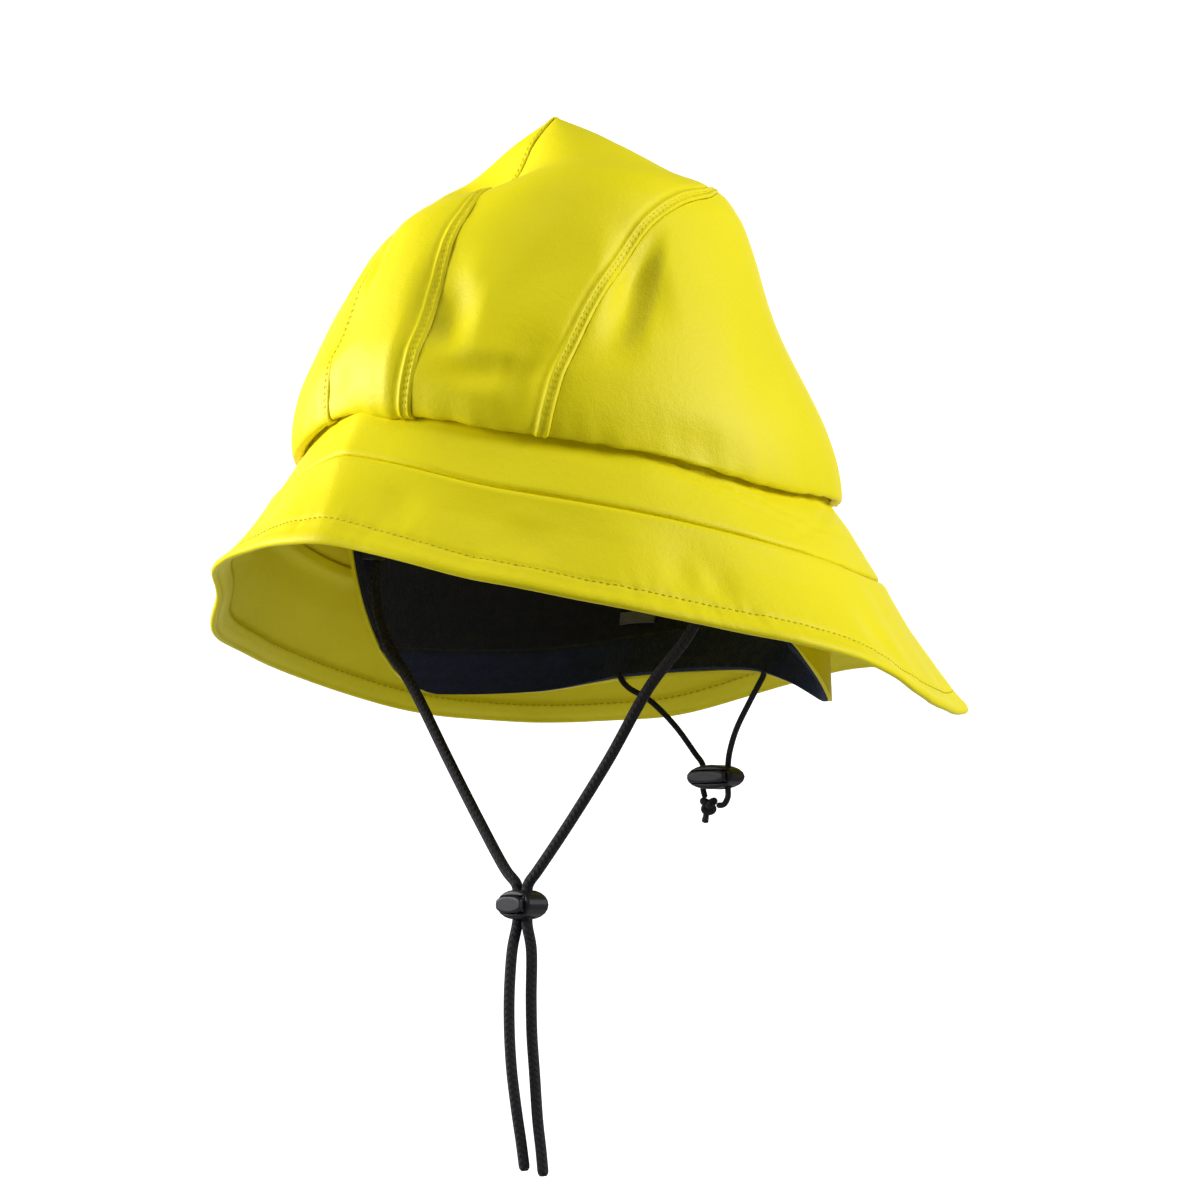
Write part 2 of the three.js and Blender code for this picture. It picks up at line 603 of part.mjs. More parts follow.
// A lock's body and button. The cords pass straight down through a slot; the button's two legs
// pass the cords on each side, so the button can be pressed by its travel.
function cordLock(prefix, lock, material) {
  const cordHalf = lock.cord / 2 + CORD_EASE;
  const slotHalf = lock.spacing / 2 + cordHalf;
  const legIn = slotHalf + GAP;
  const legOut = legIn + LOCK_FORK;
  const cavityHalf = legOut + GAP;
  const halfHeight = lock.height / 2;
  const legHalf = halfHeight - LOCK_WALL - GAP - 1;
  const crossbar = -cordHalf - lock.travel - GAP;
  const legEnd = cordHalf;
  const cavityEnd = legEnd + lock.travel + GAP;
  const front = crossbar - LOCK_FORK;
  const button = front - lock.stickOut;

  let body = toManifold(ovalBar(cavityHalf + LOCK_WALL + 1, halfHeight, front,
    cavityEnd + LOCK_WALL, 1.2, 20));
  const cavityLength = cavityEnd - front + 4;
  body = body.subtract(toManifold(block(2 * cavityHalf, cavityLength, 2 * (legHalf + GAP),
    0, cavityEnd - cavityLength / 2, 0)));
  body = body.subtract(toManifold(block(2 * slotHalf, 2 * cordHalf, lock.height + 4, 0, 0, 0)));

  const cap = block(2 * legOut, crossbar - button, 2 * legHalf, 0, (crossbar + button) / 2, 0);
  let press = toManifold(cap);
  const rounding = toManifold(ovalBar(legOut + 1, legHalf + 0.4, button, crossbar + 1, 0.8, 20));
  press = press.intersect(rounding);
  for (const side of [-1, 1]) {
    press = press.add(toManifold(block(LOCK_FORK, legEnd - crossbar + 1, 2 * legHalf,
      side * (legIn + LOCK_FORK / 2), (legEnd + crossbar - 1) / 2, 0)));
  }
  const group = new THREE.Group();
  group.position.copy(lock.at);
  group.add(fromManifold(`${prefix}_lock_body`, body, material));
  group.add(fromManifold(`${prefix}_lock_button`, press, material));
  return group;
}

const braid = () => new THREE.MeshStandardMaterial({ color: 0x232127, roughness: 0.85 });
const plastic = new THREE.MeshStandardMaterial({ color: 0x2b2b33, roughness: 0.35 });
hat.add(cord('chin_cord_left', CHIN_LEFT_ROUTE, CHIN_CORD, 8, 38, braid()));
hat.add(cord('chin_cord_right', CHIN_RIGHT_ROUTE, CHIN_CORD, 8, 38, braid()));
hat.add(cordLock('chin', CHIN_LOCK, plastic));
hat.add(cord('neck_elastic_left', NECK_LEFT_ROUTE, NECK_CORD, 6, 22, braid()));
hat.add(cord('neck_elastic_right', NECK_RIGHT_ROUTE, NECK_CORD, 6, 20, braid()));
hat.add(cordLock('neck', NECK_LOCK, plastic));

// The knot is a lump with two short cut ends below it.
function cutEnd(lean, x, y, z) {
  return toManifold(new THREE.CylinderGeometry(NECK_CORD / 2, NECK_CORD / 2, KNOT_TAIL, 8)
    .rotateX(Math.PI / 2).rotateY(lean).translate(x, y, z));
}

const knot = toManifold(new THREE.SphereGeometry(KNOT_SIZE / 2, 10, 6).scale(1.15, 0.9, 0.8))
  .add(cutEnd(0.5, -2.2, 0.4, -3)).add(cutEnd(-0.25, 0.6, -0.3, -3.2));
const knotMesh = fromManifold('neck_elastic_knot', knot, braid());
knotMesh.position.set(...KNOT_AT);
hat.add(knotMesh);

export default hat;
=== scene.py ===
import math

import bmesh
import bpy
from mathutils import Matrix, Vector, noise


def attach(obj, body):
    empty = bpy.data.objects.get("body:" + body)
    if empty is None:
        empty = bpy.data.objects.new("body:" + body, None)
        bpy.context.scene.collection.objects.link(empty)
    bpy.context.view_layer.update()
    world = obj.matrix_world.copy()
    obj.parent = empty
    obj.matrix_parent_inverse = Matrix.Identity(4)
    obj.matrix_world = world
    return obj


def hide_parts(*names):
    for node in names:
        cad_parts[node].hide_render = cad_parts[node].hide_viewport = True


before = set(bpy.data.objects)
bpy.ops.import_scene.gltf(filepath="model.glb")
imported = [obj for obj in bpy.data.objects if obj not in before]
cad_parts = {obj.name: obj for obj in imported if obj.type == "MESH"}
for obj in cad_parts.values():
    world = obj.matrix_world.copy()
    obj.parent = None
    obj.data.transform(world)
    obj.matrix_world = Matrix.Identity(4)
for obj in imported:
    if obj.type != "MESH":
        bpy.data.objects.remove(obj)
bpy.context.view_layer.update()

# Camera
# The hat is seen from its left front corner and a little from below, with a long lens.
# The origin of the part stands a little left of the middle of the picture, and above it.
CAMERA_TURN = math.radians(42)       # from the front towards the wearer's left
CAMERA_RISE = math.radians(-4.49)
CAMERA_AWAY = 2.264
ORIGIN_LEFT, ORIGIN_UP = 30.8, 120   # in pixels of the 1200 pixel photo
PHOTO_SIDE = 1200
LENS, SENSOR = 180, 36               # in millimetres

camera = bpy.data.objects.new("camera", bpy.data.cameras.new("camera"))
bpy.context.scene.collection.objects.link(camera)
camera.location = CAMERA_AWAY * Vector((
    math.sin(CAMERA_TURN) * math.cos(CAMERA_RISE),
    -math.cos(CAMERA_TURN) * math.cos(CAMERA_RISE),
    math.sin(CAMERA_RISE)))
camera.rotation_euler = camera.location.to_track_quat("Z", "Y").to_euler()
camera.data.lens = LENS
camera.data.sensor_width = SENSOR
camera.data.shift_x = ORIGIN_LEFT / PHOTO_SIDE
camera.data.shift_y = -ORIGIN_UP / PHOTO_SIDE
camera.data.clip_end = 50
bpy.context.scene.camera = camera

# Chin cord
# A tight round braid in two strands, sewn to hidden tabs at the temples. The strands run
# together into the lock under the chin, and end in two bare, heat-sealed tails.
MM = 0.001
SPLINE_STEPS = 24                    # between two points of a route
CAP_SHARE = 0.6                      # the width of a cord's cut face inside its edge
CAP_THINNING = 0.35                  # how much narrower its rounded end is
CHIN_CORD = 4.2
CHIN_LEFT_ROUTE = [
    (85.6, -15.1, -27.4), (85.8, -15.6, -35), (83.8, -16.6, -46), (76.4, -18.6, -61),
    (59.0, -21, -80), (40.2, -23, -107), (22.6, -25, -130), (7.6, -26, -147.5),
    (3.1, -26, -152.2), (2.25, -26, -155), (2.25, -26, -165), (2.3, -25.8, -168),
    (2.6, -24.0, -176), (2.6, -24.0, -195), (2.6, -23.6, -208), (2.8, -22.4, -222),
    (3.0, -20.8, -240), (3.2, -19.2, -251), (3.3, -18.0, -260.5)]
CHIN_RIGHT_ROUTE = [
    (-85.6, -15.1, -27.4), (-85.8, -15.6, -35), (-84.2, -16.6, -45), (-77.0, -18.6, -59),
    (-60.2, -21, -78.5), (-40.8, -23, -105), (-22.5, -25, -129), (-8.0, -26, -147.5),
    (-3.1, -26, -152.2), (-2.25, -26, -155), (-2.25, -26, -165), (-2.4, -26.4, -168),
    (-2.6, -28.6, -176), (-2.6, -30.2, -190), (-2.6, -30.4, -204), (-2.6, -29.2, -220),
    (-2.6, -26.4, -236), (-2.6, -23.8, -248), (-2.6, -21.8, -258.5)]


def link(name, mesh, material, slot, body="hat", *nodes):
    """Adds a piece that rides on a body and replaces those CAD nodes."""
    piece = bpy.data.objects.new(name, mesh)
    bpy.context.scene.collection.objects.link(piece)
    mesh.materials.append(material)
    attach(piece, body)
    if nodes:
        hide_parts(*nodes)
    return piece


def moved_grid(across, along, place, size=(1, 1), zone=None):
    """A flat grid moved into shape. place turns its two shares into a point in millimetres,
    size is its cloth's width and length in metres for the UV map, and zone a share for each
    point that a material reads."""
    grid = bmesh.new()
    bmesh.ops.create_grid(grid, x_segments=across, y_segments=along, size=1)
    uv = grid.loops.layers.uv.new("UVMap")
    layer = grid.verts.layers.float.new("zone") if zone else None
    shares = {corner: ((corner.co.x + 1) / 2, (corner.co.y + 1) / 2) for corner in grid.verts}
    for face in grid.faces:
        face.smooth = True
        for loop in face.loops:
            s, t = shares[loop.vert]
            loop[uv].uv = (s * size[0], t * size[1])
    for corner, (s, t) in shares.items():
        corner.co = place(s, t) * MM
        if zone:
            corner[layer] = zone(s, t)
    bmesh.ops.remove_doubles(grid, verts=grid.verts, dist=1e-6)
    bmesh.ops.recalc_face_normals(grid, faces=grid.faces)
    return grid


def to_mesh(name, shape):
    mesh = bpy.data.meshes.new(name)
    shape.to_mesh(mesh)
    shape.free()
    return mesh


def smooth_route(points, steps):
    """Points along a centripetal spline through the route, each step about as long."""
    knots = [Vector(p) for p in points]
    knots = [2 * knots[0] - knots[1], *knots, 2 * knots[-1] - knots[-2]]
    fine = []
    for a, b, c, d in zip(knots, knots[1:], knots[2:], knots[3:]):
        t1 = (b - a).length ** 0.5
        t2 = t1 + (c - b).length ** 0.5
        t3 = t2 + (d - c).length ** 0.5
        for i in range(SPLINE_STEPS):
            t = t1 + (t2 - t1) * i / SPLINE_STEPS
            ab = a.lerp(b, t / t1)
            bc = b.lerp(c, (t - t1) / (t2 - t1))
            cd = c.lerp(d, (t - t2) / (t3 - t2))
            fine.append(ab.lerp(bc, t / t2).lerp(bc.lerp(cd, (t - t1) / (t3 - t1)),
                                                 (t - t1) / (t2 - t1)))
    fine.append(knots[-2])
    return evenly(fine, steps)


def evenly(points, steps):
    """Points at even distances along a line of points."""
    reached = [0.0]
    for a, b in zip(points, points[1:]):
        reached.append(reached[-1] + (b - a).length)
    spots, k = [], 0
    for i in range(steps + 1):
        want = reached[-1] * i / steps
        while k < len(points) - 2 and reached[k + 1] < want:
            k += 1
        step = max(reached[k + 1] - reached[k], 1e-9)
        spots.append(points[k].lerp(points[k + 1], min(1, (want - reached[k]) / step)))
    return spots


def length_of(points):
    return sum((b - a).length for a, b in zip(points, points[1:]))


def tube(name, route, diameter, steps, around=20, end_round=0.0):
    """A round cord along a route, with its UV map in metres along it. end_round is how much of
    a radius its ends are rounded over."""
    line = smooth_route(route, steps)
    total = length_of(line)
    ahead = [(line[min(i + 1, steps)] - line[max(i - 1, 0)]).normalized()
             for i in range(steps + 1)]
    side = ahead[0].orthogonal().normalized()
    sides = []
    for direction in ahead:
        side = (side - side.dot(direction) * direction).normalized()
        sides.append(side)

    def place(s, t):
        i = min(round(t * (steps + 4)) - 2, steps + 2)
        k = min(max(i, 0), steps)
        to_end = min(k, steps - k) * total / steps
        rounding = max(end_round * diameter / 2, 1e-6)
        thin = 1 - CAP_THINNING * max(0, 1 - to_end / rounding) ** 2
        radius = diameter / 2 * thin * (1 if 0 <= i <= steps else CAP_SHARE)
        if i in (-2, steps + 2):
            radius = 0
        turn = 2 * math.pi * s
        out = math.cos(turn) * sides[k] + math.sin(turn) * ahead[k].cross(sides[k])
        return line[k] + radius * out

    grid = moved_grid(around, steps + 4, place, size=(1, total * MM))
    return to_mesh(name, grid), [p * MM for p in line], total * MM


class Wire:
    """One output of a shader node. Arithmetic on it adds Math nodes."""

    def __init__(self, tree, socket):
        self.tree, self.socket = tree, socket

    def math(self, operation, *others, turned=False):
        node = self.tree.nodes.new("ShaderNodeMath")
        node.operation = operation
        values = (*others, self) if turned else (self, *others)
        for socket, value in zip(node.inputs, values):
            feed(self.tree, socket, value)
        return Wire(self.tree, node.outputs[0])

    def __add__(self, other):
        return self.math("ADD", other)

    def __sub__(self, other):
        return self.math("SUBTRACT", other)

    def __rsub__(self, other):
        return self.math("SUBTRACT", other, turned=True)

    def __mul__(self, other):
        return self.math("MULTIPLY", other)

    __radd__ = __add__

    def clamped(self, low, high):
        return self.math("MAXIMUM", low).math("MINIMUM", high)


def feed(tree, socket, value):
    if isinstance(value, Wire):
        tree.links.new(value.socket, socket)
    else:
        socket.default_value = value


class Finish:
    """A material as it is mixed, from its nodes to its surface."""

    def __init__(self, name, color, roughness, **plain):
        self.material = bpy.data.materials.new(name)
        self.material.use_nodes = True
        self.tree = self.material.node_tree
        self.surface = self.tree.nodes["Principled BSDF"]
        self.set("Base Color", (*color, 1))
        self.set("Roughness", roughness)
        for socket, value in plain.items():
            self.set(socket.replace("_", " "), value)

    def set(self, socket, value):
        feed(self.tree, self.surface.inputs[socket], value)

    def node(self, kind, settings=None, inputs=None, output=0):
        node = self.tree.nodes.new("ShaderNode" + kind)
        for name, value in (settings or {}).items():
            setattr(node, name, value)
        for name, value in (inputs or {}).items():
            feed(self.tree, node.inputs[name], value)
        return Wire(self.tree, node.outputs[output])

    def place(self, on="Object"):
        return self.node("TexCoord", output=on)

    def noise(self, scale, detail):
        return self.node("TexNoise", inputs={
            "Vector": self.place(), "Scale": scale, "Detail": detail})

    def split(self, wire):
        node = self.tree.nodes.new("ShaderNodeSeparateXYZ")
        feed(self.tree, node.inputs[0], wire)
        return [Wire(self.tree, output) for output in node.outputs]

    def blend(self, factor, first, second):
        node = self.tree.nodes.new("ShaderNodeMix")
        node.data_type = "RGBA"
        feed(self.tree, node.inputs["Factor"], factor)
        feed(self.tree, node.inputs[6], first if isinstance(first, Wire) else (*first, 1))
        feed(self.tree, node.inputs[7], second if isinstance(second, Wire) else (*second, 1))
        return Wire(self.tree, node.outputs[2])

    def relief(self, *layers):
        """Each layer is a height wire and how deep it is in metres."""
        bump = None
        for height, deep in layers:
            inputs = {"Height": height, "Distance": deep, "Strength": 1.0}
            if bump:
                inputs["Normal"] = bump
            bump = self.node("Bump", inputs=inputs)
        self.set("Normal", bump)


def braid(name, color, strands, pitch):
    """Round braid: two families of strands that pass over and under each other. pitch is how
    far along the cord one strand goes in a full turn, in metres."""
    finish = Finish(name, color, 0.82, Sheen_Weight=0.03, Sheen_Roughness=0.6,
                    Specular_IOR_Level=0.3)
    around, along, _ = finish.split(finish.place(on="UV"))
    turns = along * (1 / pitch)
    left = ((around + turns) * (2 * math.pi * strands)).math("SINE")
    right = ((around - turns) * (2 * math.pi * strands)).math("SINE")
    over = (left * right).math("GREATER_THAN", 0.0)
    height = over * left.math("ABSOLUTE") + (1 - over) * right.math("ABSOLUTE")
    fuzz = finish.noise(2500, 3)
    # Painted shade and highlight: the colour is darker in the grooves between the strands and
    # lighter on their tops, mixed with a random tone from the fuzz.
    groove_shade_and_fuzz = (height * 0.6 + fuzz * 0.6).clamped(0, 1)
    dark = tuple(0.45 * c for c in color)
    light = tuple(1.5 * c for c in color)
    finish.set("Base Color", finish.blend(groove_shade_and_fuzz, dark, light))
    finish.set("Roughness", 0.7 + fuzz * 0.25)
    finish.relief((height, 0.00022), (fuzz, 0.00008))
    return finish.material


chin_braid = braid("black_braid", (0.0115, 0.0105, 0.0135), 4, 0.019)
for side, route in (("left", CHIN_LEFT_ROUTE), ("right", CHIN_RIGHT_ROUTE)):
    name = f"chin_braid_{side}"
    mesh, line, length = tube(name, route, CHIN_CORD, 260, end_round=0.8)
    strand = link(name, mesh, chin_braid, "cord", "hat", f"chin_cord_{side}")

# Nape elastic
# A thin covered elastic in two ends. It comes out of the hem of the curtain on each side,
# passes through the small lock, and is knotted off below it.
NECK_CORD = 2.3
NECK_LEFT_ROUTE = [
    (37.2, 70.2, -69.5), (35.8, 70.8, -72.5), (33.6, 71.0, -75.5), (27.4, 72.4, -82.5),
    (17.6, 76.2, -92.5), (9.6, 81.6, -101), (6.5, 84.4, -105.2), (6.3, 84.5, -110.2),
    (6.3, 84.5, -115), (6.4, 84.3, -118), (4.8, 83.8, -120.8), (1.9, 83.2, -121.2)]
NECK_RIGHT_ROUTE = [
    (-37.2, 70.2, -69.5), (-35.8, 70.8, -72.5), (-33.0, 71.4, -75.2), (-25.2, 74.4, -80),
    (-16.2, 79.2, -90), (-9.2, 83.2, -101), (-6.5, 84.4, -105.2), (-6.3, 84.5, -110.2),
    (-6.3, 84.5, -115), (-5.0, 84.2, -118)]
KNOT_AT = Vector((-2.4, 83.2, -121))

elastic_cover = braid("black_elastic", (0.012, 0.011, 0.014), 6, 0.008)
for side, route in (("left", NECK_LEFT_ROUTE), ("right", NECK_RIGHT_ROUTE)):
    name = f"nape_elastic_{side}"
    mesh, line, length = tube(name, route, NECK_CORD, 110, around=16)
    strand = link(name, mesh, elastic_cover, "cord", "hat", f"neck_elastic_{side}")

# The knot is the elastic's own two ends, turned over each other and pulled tight.
KNOT_CORD = 2.9                      # the elastic swells where it is pulled tight
KNOT_STEPS = 36
knot_loop = [KNOT_AT + Vector((
    2.0 * (math.sin(a) + 1.5 * math.sin(2 * a)) / 1.9,
    -1.5 * math.sin(3 * a),
    math.cos(a) - 1.5 * math.cos(2 * a))) for a in
    [2 * math.pi * i / KNOT_STEPS for i in range(KNOT_STEPS + 1)]]
knot_mesh, _, _ = tube("nape_knot", knot_loop, KNOT_CORD, 120, around=14)
link("nape_knot", knot_mesh, elastic_cover, "cord", "hat", "neck_elastic_knot")
for side, low in (("left", (-3.0, 0.7, -6.6)), ("right", (-0.9, -0.9, -6.9))):
    start = KNOT_AT + Vector((0.25 * low[0], low[1], -1.0))
    end = KNOT_AT + Vector(low)
    name = f"nape_cut_end_{side}"
    end_mesh, _, _ = tube(name, [start, start.lerp(end, 0.5), end], NECK_CORD, 14,
                          around=12, end_round=0.4)
    link(name, end_mesh, elastic_cover, "cord")

# Crown
# Four gores of coated rain cloth. Each is turned under at the edge that meets the next and
# topstitched twice, which leaves a raised strip along the seam. All four meet at the back of
# the top, and the bottom edge rolls under to the band.
WALL = 1.5
CROWN_HALF_WIDTH, CROWN_HALF_LENGTH = 98, 109
CROWN_EDGE_Z, CROWN_RISE, FRONT_LIFT = -9, 146, 28
GORE_PUFF = 2.2
PUFF_SHARE = 0.7                     # the part of a gore's length that swells
SEAM_GAP = 0.3                       # between the band and the brim
CROWN_GAP = 0.08                     # between two gores
FELL_WIDTH = 4.2                     # the raised strip along a seam
STITCH_LINES = (1.9, 3.1)            # the rows of stitches on it, from the seam
STITCH_PITCH = 2.6
STITCH_LIFT = 0.16                   # of a stitch's middle above the cloth
CREASE_DEEP = 4.2                    # the fold down the front of the crown and the brim
SEAM_STEPS, WIDTH_STEPS = 400, 60


def table(columns, *rows):
    """A list of dictionaries, from the names of the columns and the rows below them."""
    return [dict(zip(columns.split(), row)) for row in rows]


# up is the share of the way from the crown's edge to its top. Its height and its width are
# shares too, and back is how far it leans.
CROWN_ROWS = table(
    "up high wide back",
    (0.00, 0.012, 0.965, 0.00),
    (0.03, 0.005, 1.000, 0.00),
    (0.08, 0.085, 0.995, -0.01),
    (0.14, 0.180, 0.960, -0.02),
    (0.21, 0.270, 0.912, -0.02),
    (0.31, 0.400, 0.835, -0.02),
    (0.43, 0.535, 0.748, -0.01),
    (0.54, 0.665, 0.660, 0.01),
    (0.61, 0.750, 0.598, 0.03),
    (0.66, 0.800, 0.535, 0.05),
    (0.74, 0.846, 0.425, 0.06),
    (0.87, 0.935, 0.215, 0.00),
    (1.00, 1.000, 0.000, -0.07))
# The angle of each seam at a share of the way up.
SEAM_ROWS = table(
    "up front left right",
    (0.000, 10.5, 37, -11),
    (0.170, 12, 43, -15),
    (0.308, 11.5, 50, -17),
    (0.435, 11, 59, -19),
    (0.525, 11, 68, -25),
    (0.597, 9, 84, -36),
    (0.634, 7.5, 104, -58),
    (0.660, 6, 118, -88),
    (0.685, 4, 137, -122),
    (0.700, 2, 157, -152))
SEAM_MEET_UP = 0.705
# Where the cloth is pressed in, how wide in degrees, how tall in shares and how deep.
DENT_ROWS = table(
    "angle up wide tall deep",
    (12, 0.30, 9, 0.16, 3.0),
    (62, 0.40, 12, 0.16, 3.4),
    (-14, 0.24, 10, 0.12, 2.4),
    (-32, 0.42, 8, 0.10, 4.0),
    (134, 0.36, 42, 0.26, 4.0),
    (-110, 0.34, 26, 0.22, 4.0),
    (-15, 0.73, 58, 0.27, 14.8),
    (-96, 0.79, 42, 0.19, 8.4),
    (118, 0.85, 40, 0.15, 6.2))
# Smaller folds on top of those. lean is how far each turns towards larger angles, in degrees
# over the crown's full height.
FOLD_ROWS = table(
    "angle up wide tall deep lean",
    (17, 0.24, 7, 0.13, 3.6, 10),
    (25, 0.13, 12, 0.05, 2.6, 60),
    (58, 0.32, 8, 0.17, 4.6, 42),
    (66, 0.45, 6, 0.10, 2.0, 60),
    (34, 0.13, 6, 0.13, 2.8, 30),
    (40, 0.40, 12, 0.16, 1.6, 50),
    (-14, 0.40, 5, 0.14, 2.2, -30),
    (-24, 0.50, 6, 0.10, 2.0, -40),
    (-10, 0.10, 9, 0.08, 1.6, 0),
    (70, 0.06, 16, 0.06, 1.6, 40),
    (100, 0.30, 14, 0.20, 2.2, 30),
    (150, 0.40, 16, 0.20, 2.4, -20),
    (-140, 0.36, 16, 0.22, 2.6, 20),
    (-80, 0.28, 12, 0.18, 2.4, -20))
BRIM_ROWS = table(
    "angle lift reach drop",
    (0, 1.00, 0.76, 0.77),
    (30, 0.65, 0.74, 0.85),
    (60, 0.37, 0.77, 0.93),
    (90, 0.05, 0.98, 0.98),
    (120, 0.00, 0.90, 1.18),
    (150, 0.02, 1.20, 1.15),
    (180, 0.01, 1.64, 0.83))


def column(rows, key, name, at):
    """A column's value between the rows, on a smooth curve that is level at its ends."""
    last = len(rows) - 1
    x = min(max(at, rows[0][key]), rows[last][key])
    i = 0
    while i < last - 1 and x > rows[i + 1][key]:
        i += 1

    def slope(k):
        if k in (0, last):
            return 0
        return (rows[k + 1][name] - rows[k - 1][name]) / (rows[k + 1][key] - rows[k - 1][key])

    step = rows[i + 1][key] - rows[i][key]
    t = (x - rows[i][key]) / step
    return (rows[i][name] * (1 + 2 * t) * (1 - t) ** 2 + slope(i) * step * t * (1 - t) ** 2
            + rows[i + 1][name] * t * t * (3 - 2 * t) + slope(i + 1) * step * t * t * (t - 1))


def finely(rows, key, name, steps=720):
    """The same curve, worked out once at many steps and read on straight lines."""
    low, high = rows[0][key], rows[-1][key]
    values = [column(rows, key, name, low + (high - low) * i / steps) for i in range(steps + 1)]

    def read(at):
        x = min(max((at - low) / (high - low), 0), 1) * steps
        i = min(int(x), steps - 1)
        return values[i] + (values[i + 1] - values[i]) * (x - i)

    return read


def wrap(angle):
    """The same angle between -180 and 180."""
    return angle - 360 * round(angle / 360)


def hump(offset, wide):
    """1 in the middle and 0 from wide on, on a smooth curve."""
    t = abs(offset) / wide
    return 0 if t >= 1 else 0.5 + 0.5 * math.cos(math.pi * t)


def bell(offset, wide):
    return math.exp(-(offset / wide) ** 2)


def ease(low, high, x):
    """From 0 at low to 1 at high, on a smooth curve. low may be the larger."""
    t = min(max((x - low) / (high - low), 0), 1)
    return t * t * (3 - 2 * t)


def polar(angle, radius, z):
    turn = math.radians(angle)
    return Vector((radius * math.sin(turn), -radius * math.cos(turn), z))


BRIM_CURVES = {name: finely(BRIM_ROWS, "angle", name) for name in ("lift", "reach", "drop")}
CROWN_CURVES = {name: finely(CROWN_ROWS, "up", name) for name in ("high", "wide", "back")}


def around(name, angle):
    return BRIM_CURVES[name](abs(wrap(angle)))


def crown_radius(angle):
    turn = math.radians(angle)
    return 1 / math.hypot(math.sin(turn) / CROWN_HALF_WIDTH, math.cos(turn) / CROWN_HALF_LENGTH)


def crown_edge_z(angle):
    return CROWN_EDGE_Z + FRONT_LIFT * around("lift", angle)


def on_disc(angle, up):
    """The place on the crown's flat disc, as dome_point describes it."""
    turn = math.radians(angle)
    return Vector(((1 - up) * math.sin(turn), -(1 - up) * math.cos(turn), 0))


def disc_angle(p):
    return math.degrees(math.atan2(p.x, -p.y))


def dome_point(disc, outward):
    """A point of the dome, moved out along the cloth's normal. The dome is unrolled on a flat
    disc of radius 1, with the crown's edge at its rim and the top at its middle."""
    up = 1 - min(1, disc.length)
    angle = disc_angle(disc)
    edge = crown_edge_z(angle)
    rise = CROWN_EDGE_Z + CROWN_RISE - edge
    plan = crown_radius(angle)

    def profile(u):
        return CROWN_CURVES["wide"](u) * plan, edge + rise * CROWN_CURVES["high"](u)

    low, high = profile(max(0, up - 0.02)), profile(min(1, up + 0.02))
    run = Vector((high[0] - low[0], high[1] - low[1])).normalized()
    radius, z = profile(up)
    point = polar(angle, max(radius + run.y * outward, 0), z - run.x * outward)
    point.y += CROWN_HALF_LENGTH * CROWN_CURVES["back"](up)
    return point


def dent_at(angle, up, rows=DENT_ROWS):
    """How deep the rows press the cloth in at a point of the crown."""
    total = 0
    for row in rows:
        above = up - row["up"]
        across = wrap(angle - row["angle"] - row.get("lean", 0) * above)
        total += row["deep"] * hump(across, row["wide"]) * hump(above, row["tall"])
    return total


def front_crease(angle, at, wide):
    """A worn fold down the front: 1 on its ridge, and falling off on straight slopes."""
    return math.exp(-2 * math.hypot(wrap(angle - at) / wide, 0.07))


def seam_curve(name):
    """A seam's points on the disc, evenly spaced from the edge of the crown to the meeting."""
    meeting = on_disc(180, SEAM_MEET_UP)
    if name == "back":
        points = [on_disc(180, 0), on_disc(180, 0.3), meeting]
    else:
        points = [on_disc(row[name], row["up"]) for row in SEAM_ROWS]
        if name == "front":
            points += [on_disc(0, 0.85), on_disc(180, 1), on_disc(180, 0.85)]
        points.append(meeting)
    return smooth_route(points, SEAM_STEPS)


SEAMS = {name: seam_curve(name) for name in ("front", "left", "right", "back")}


def along_seam(name, v, side):
    """A point beside a seam, with v from 0 at the edge to 1 at the meeting."""
    line = SEAMS[name]
    i = min(int(v * SEAM_STEPS), SEAM_STEPS - 1)
    point = line[i].lerp(line[i + 1], v * SEAM_STEPS - i)
    ahead = (line[i + 1] - line[i]).normalized()
    return point + Vector((-ahead.y, ahead.x, 0)) * side * CROWN_GAP / 2 / CROWN_HALF_WIDTH


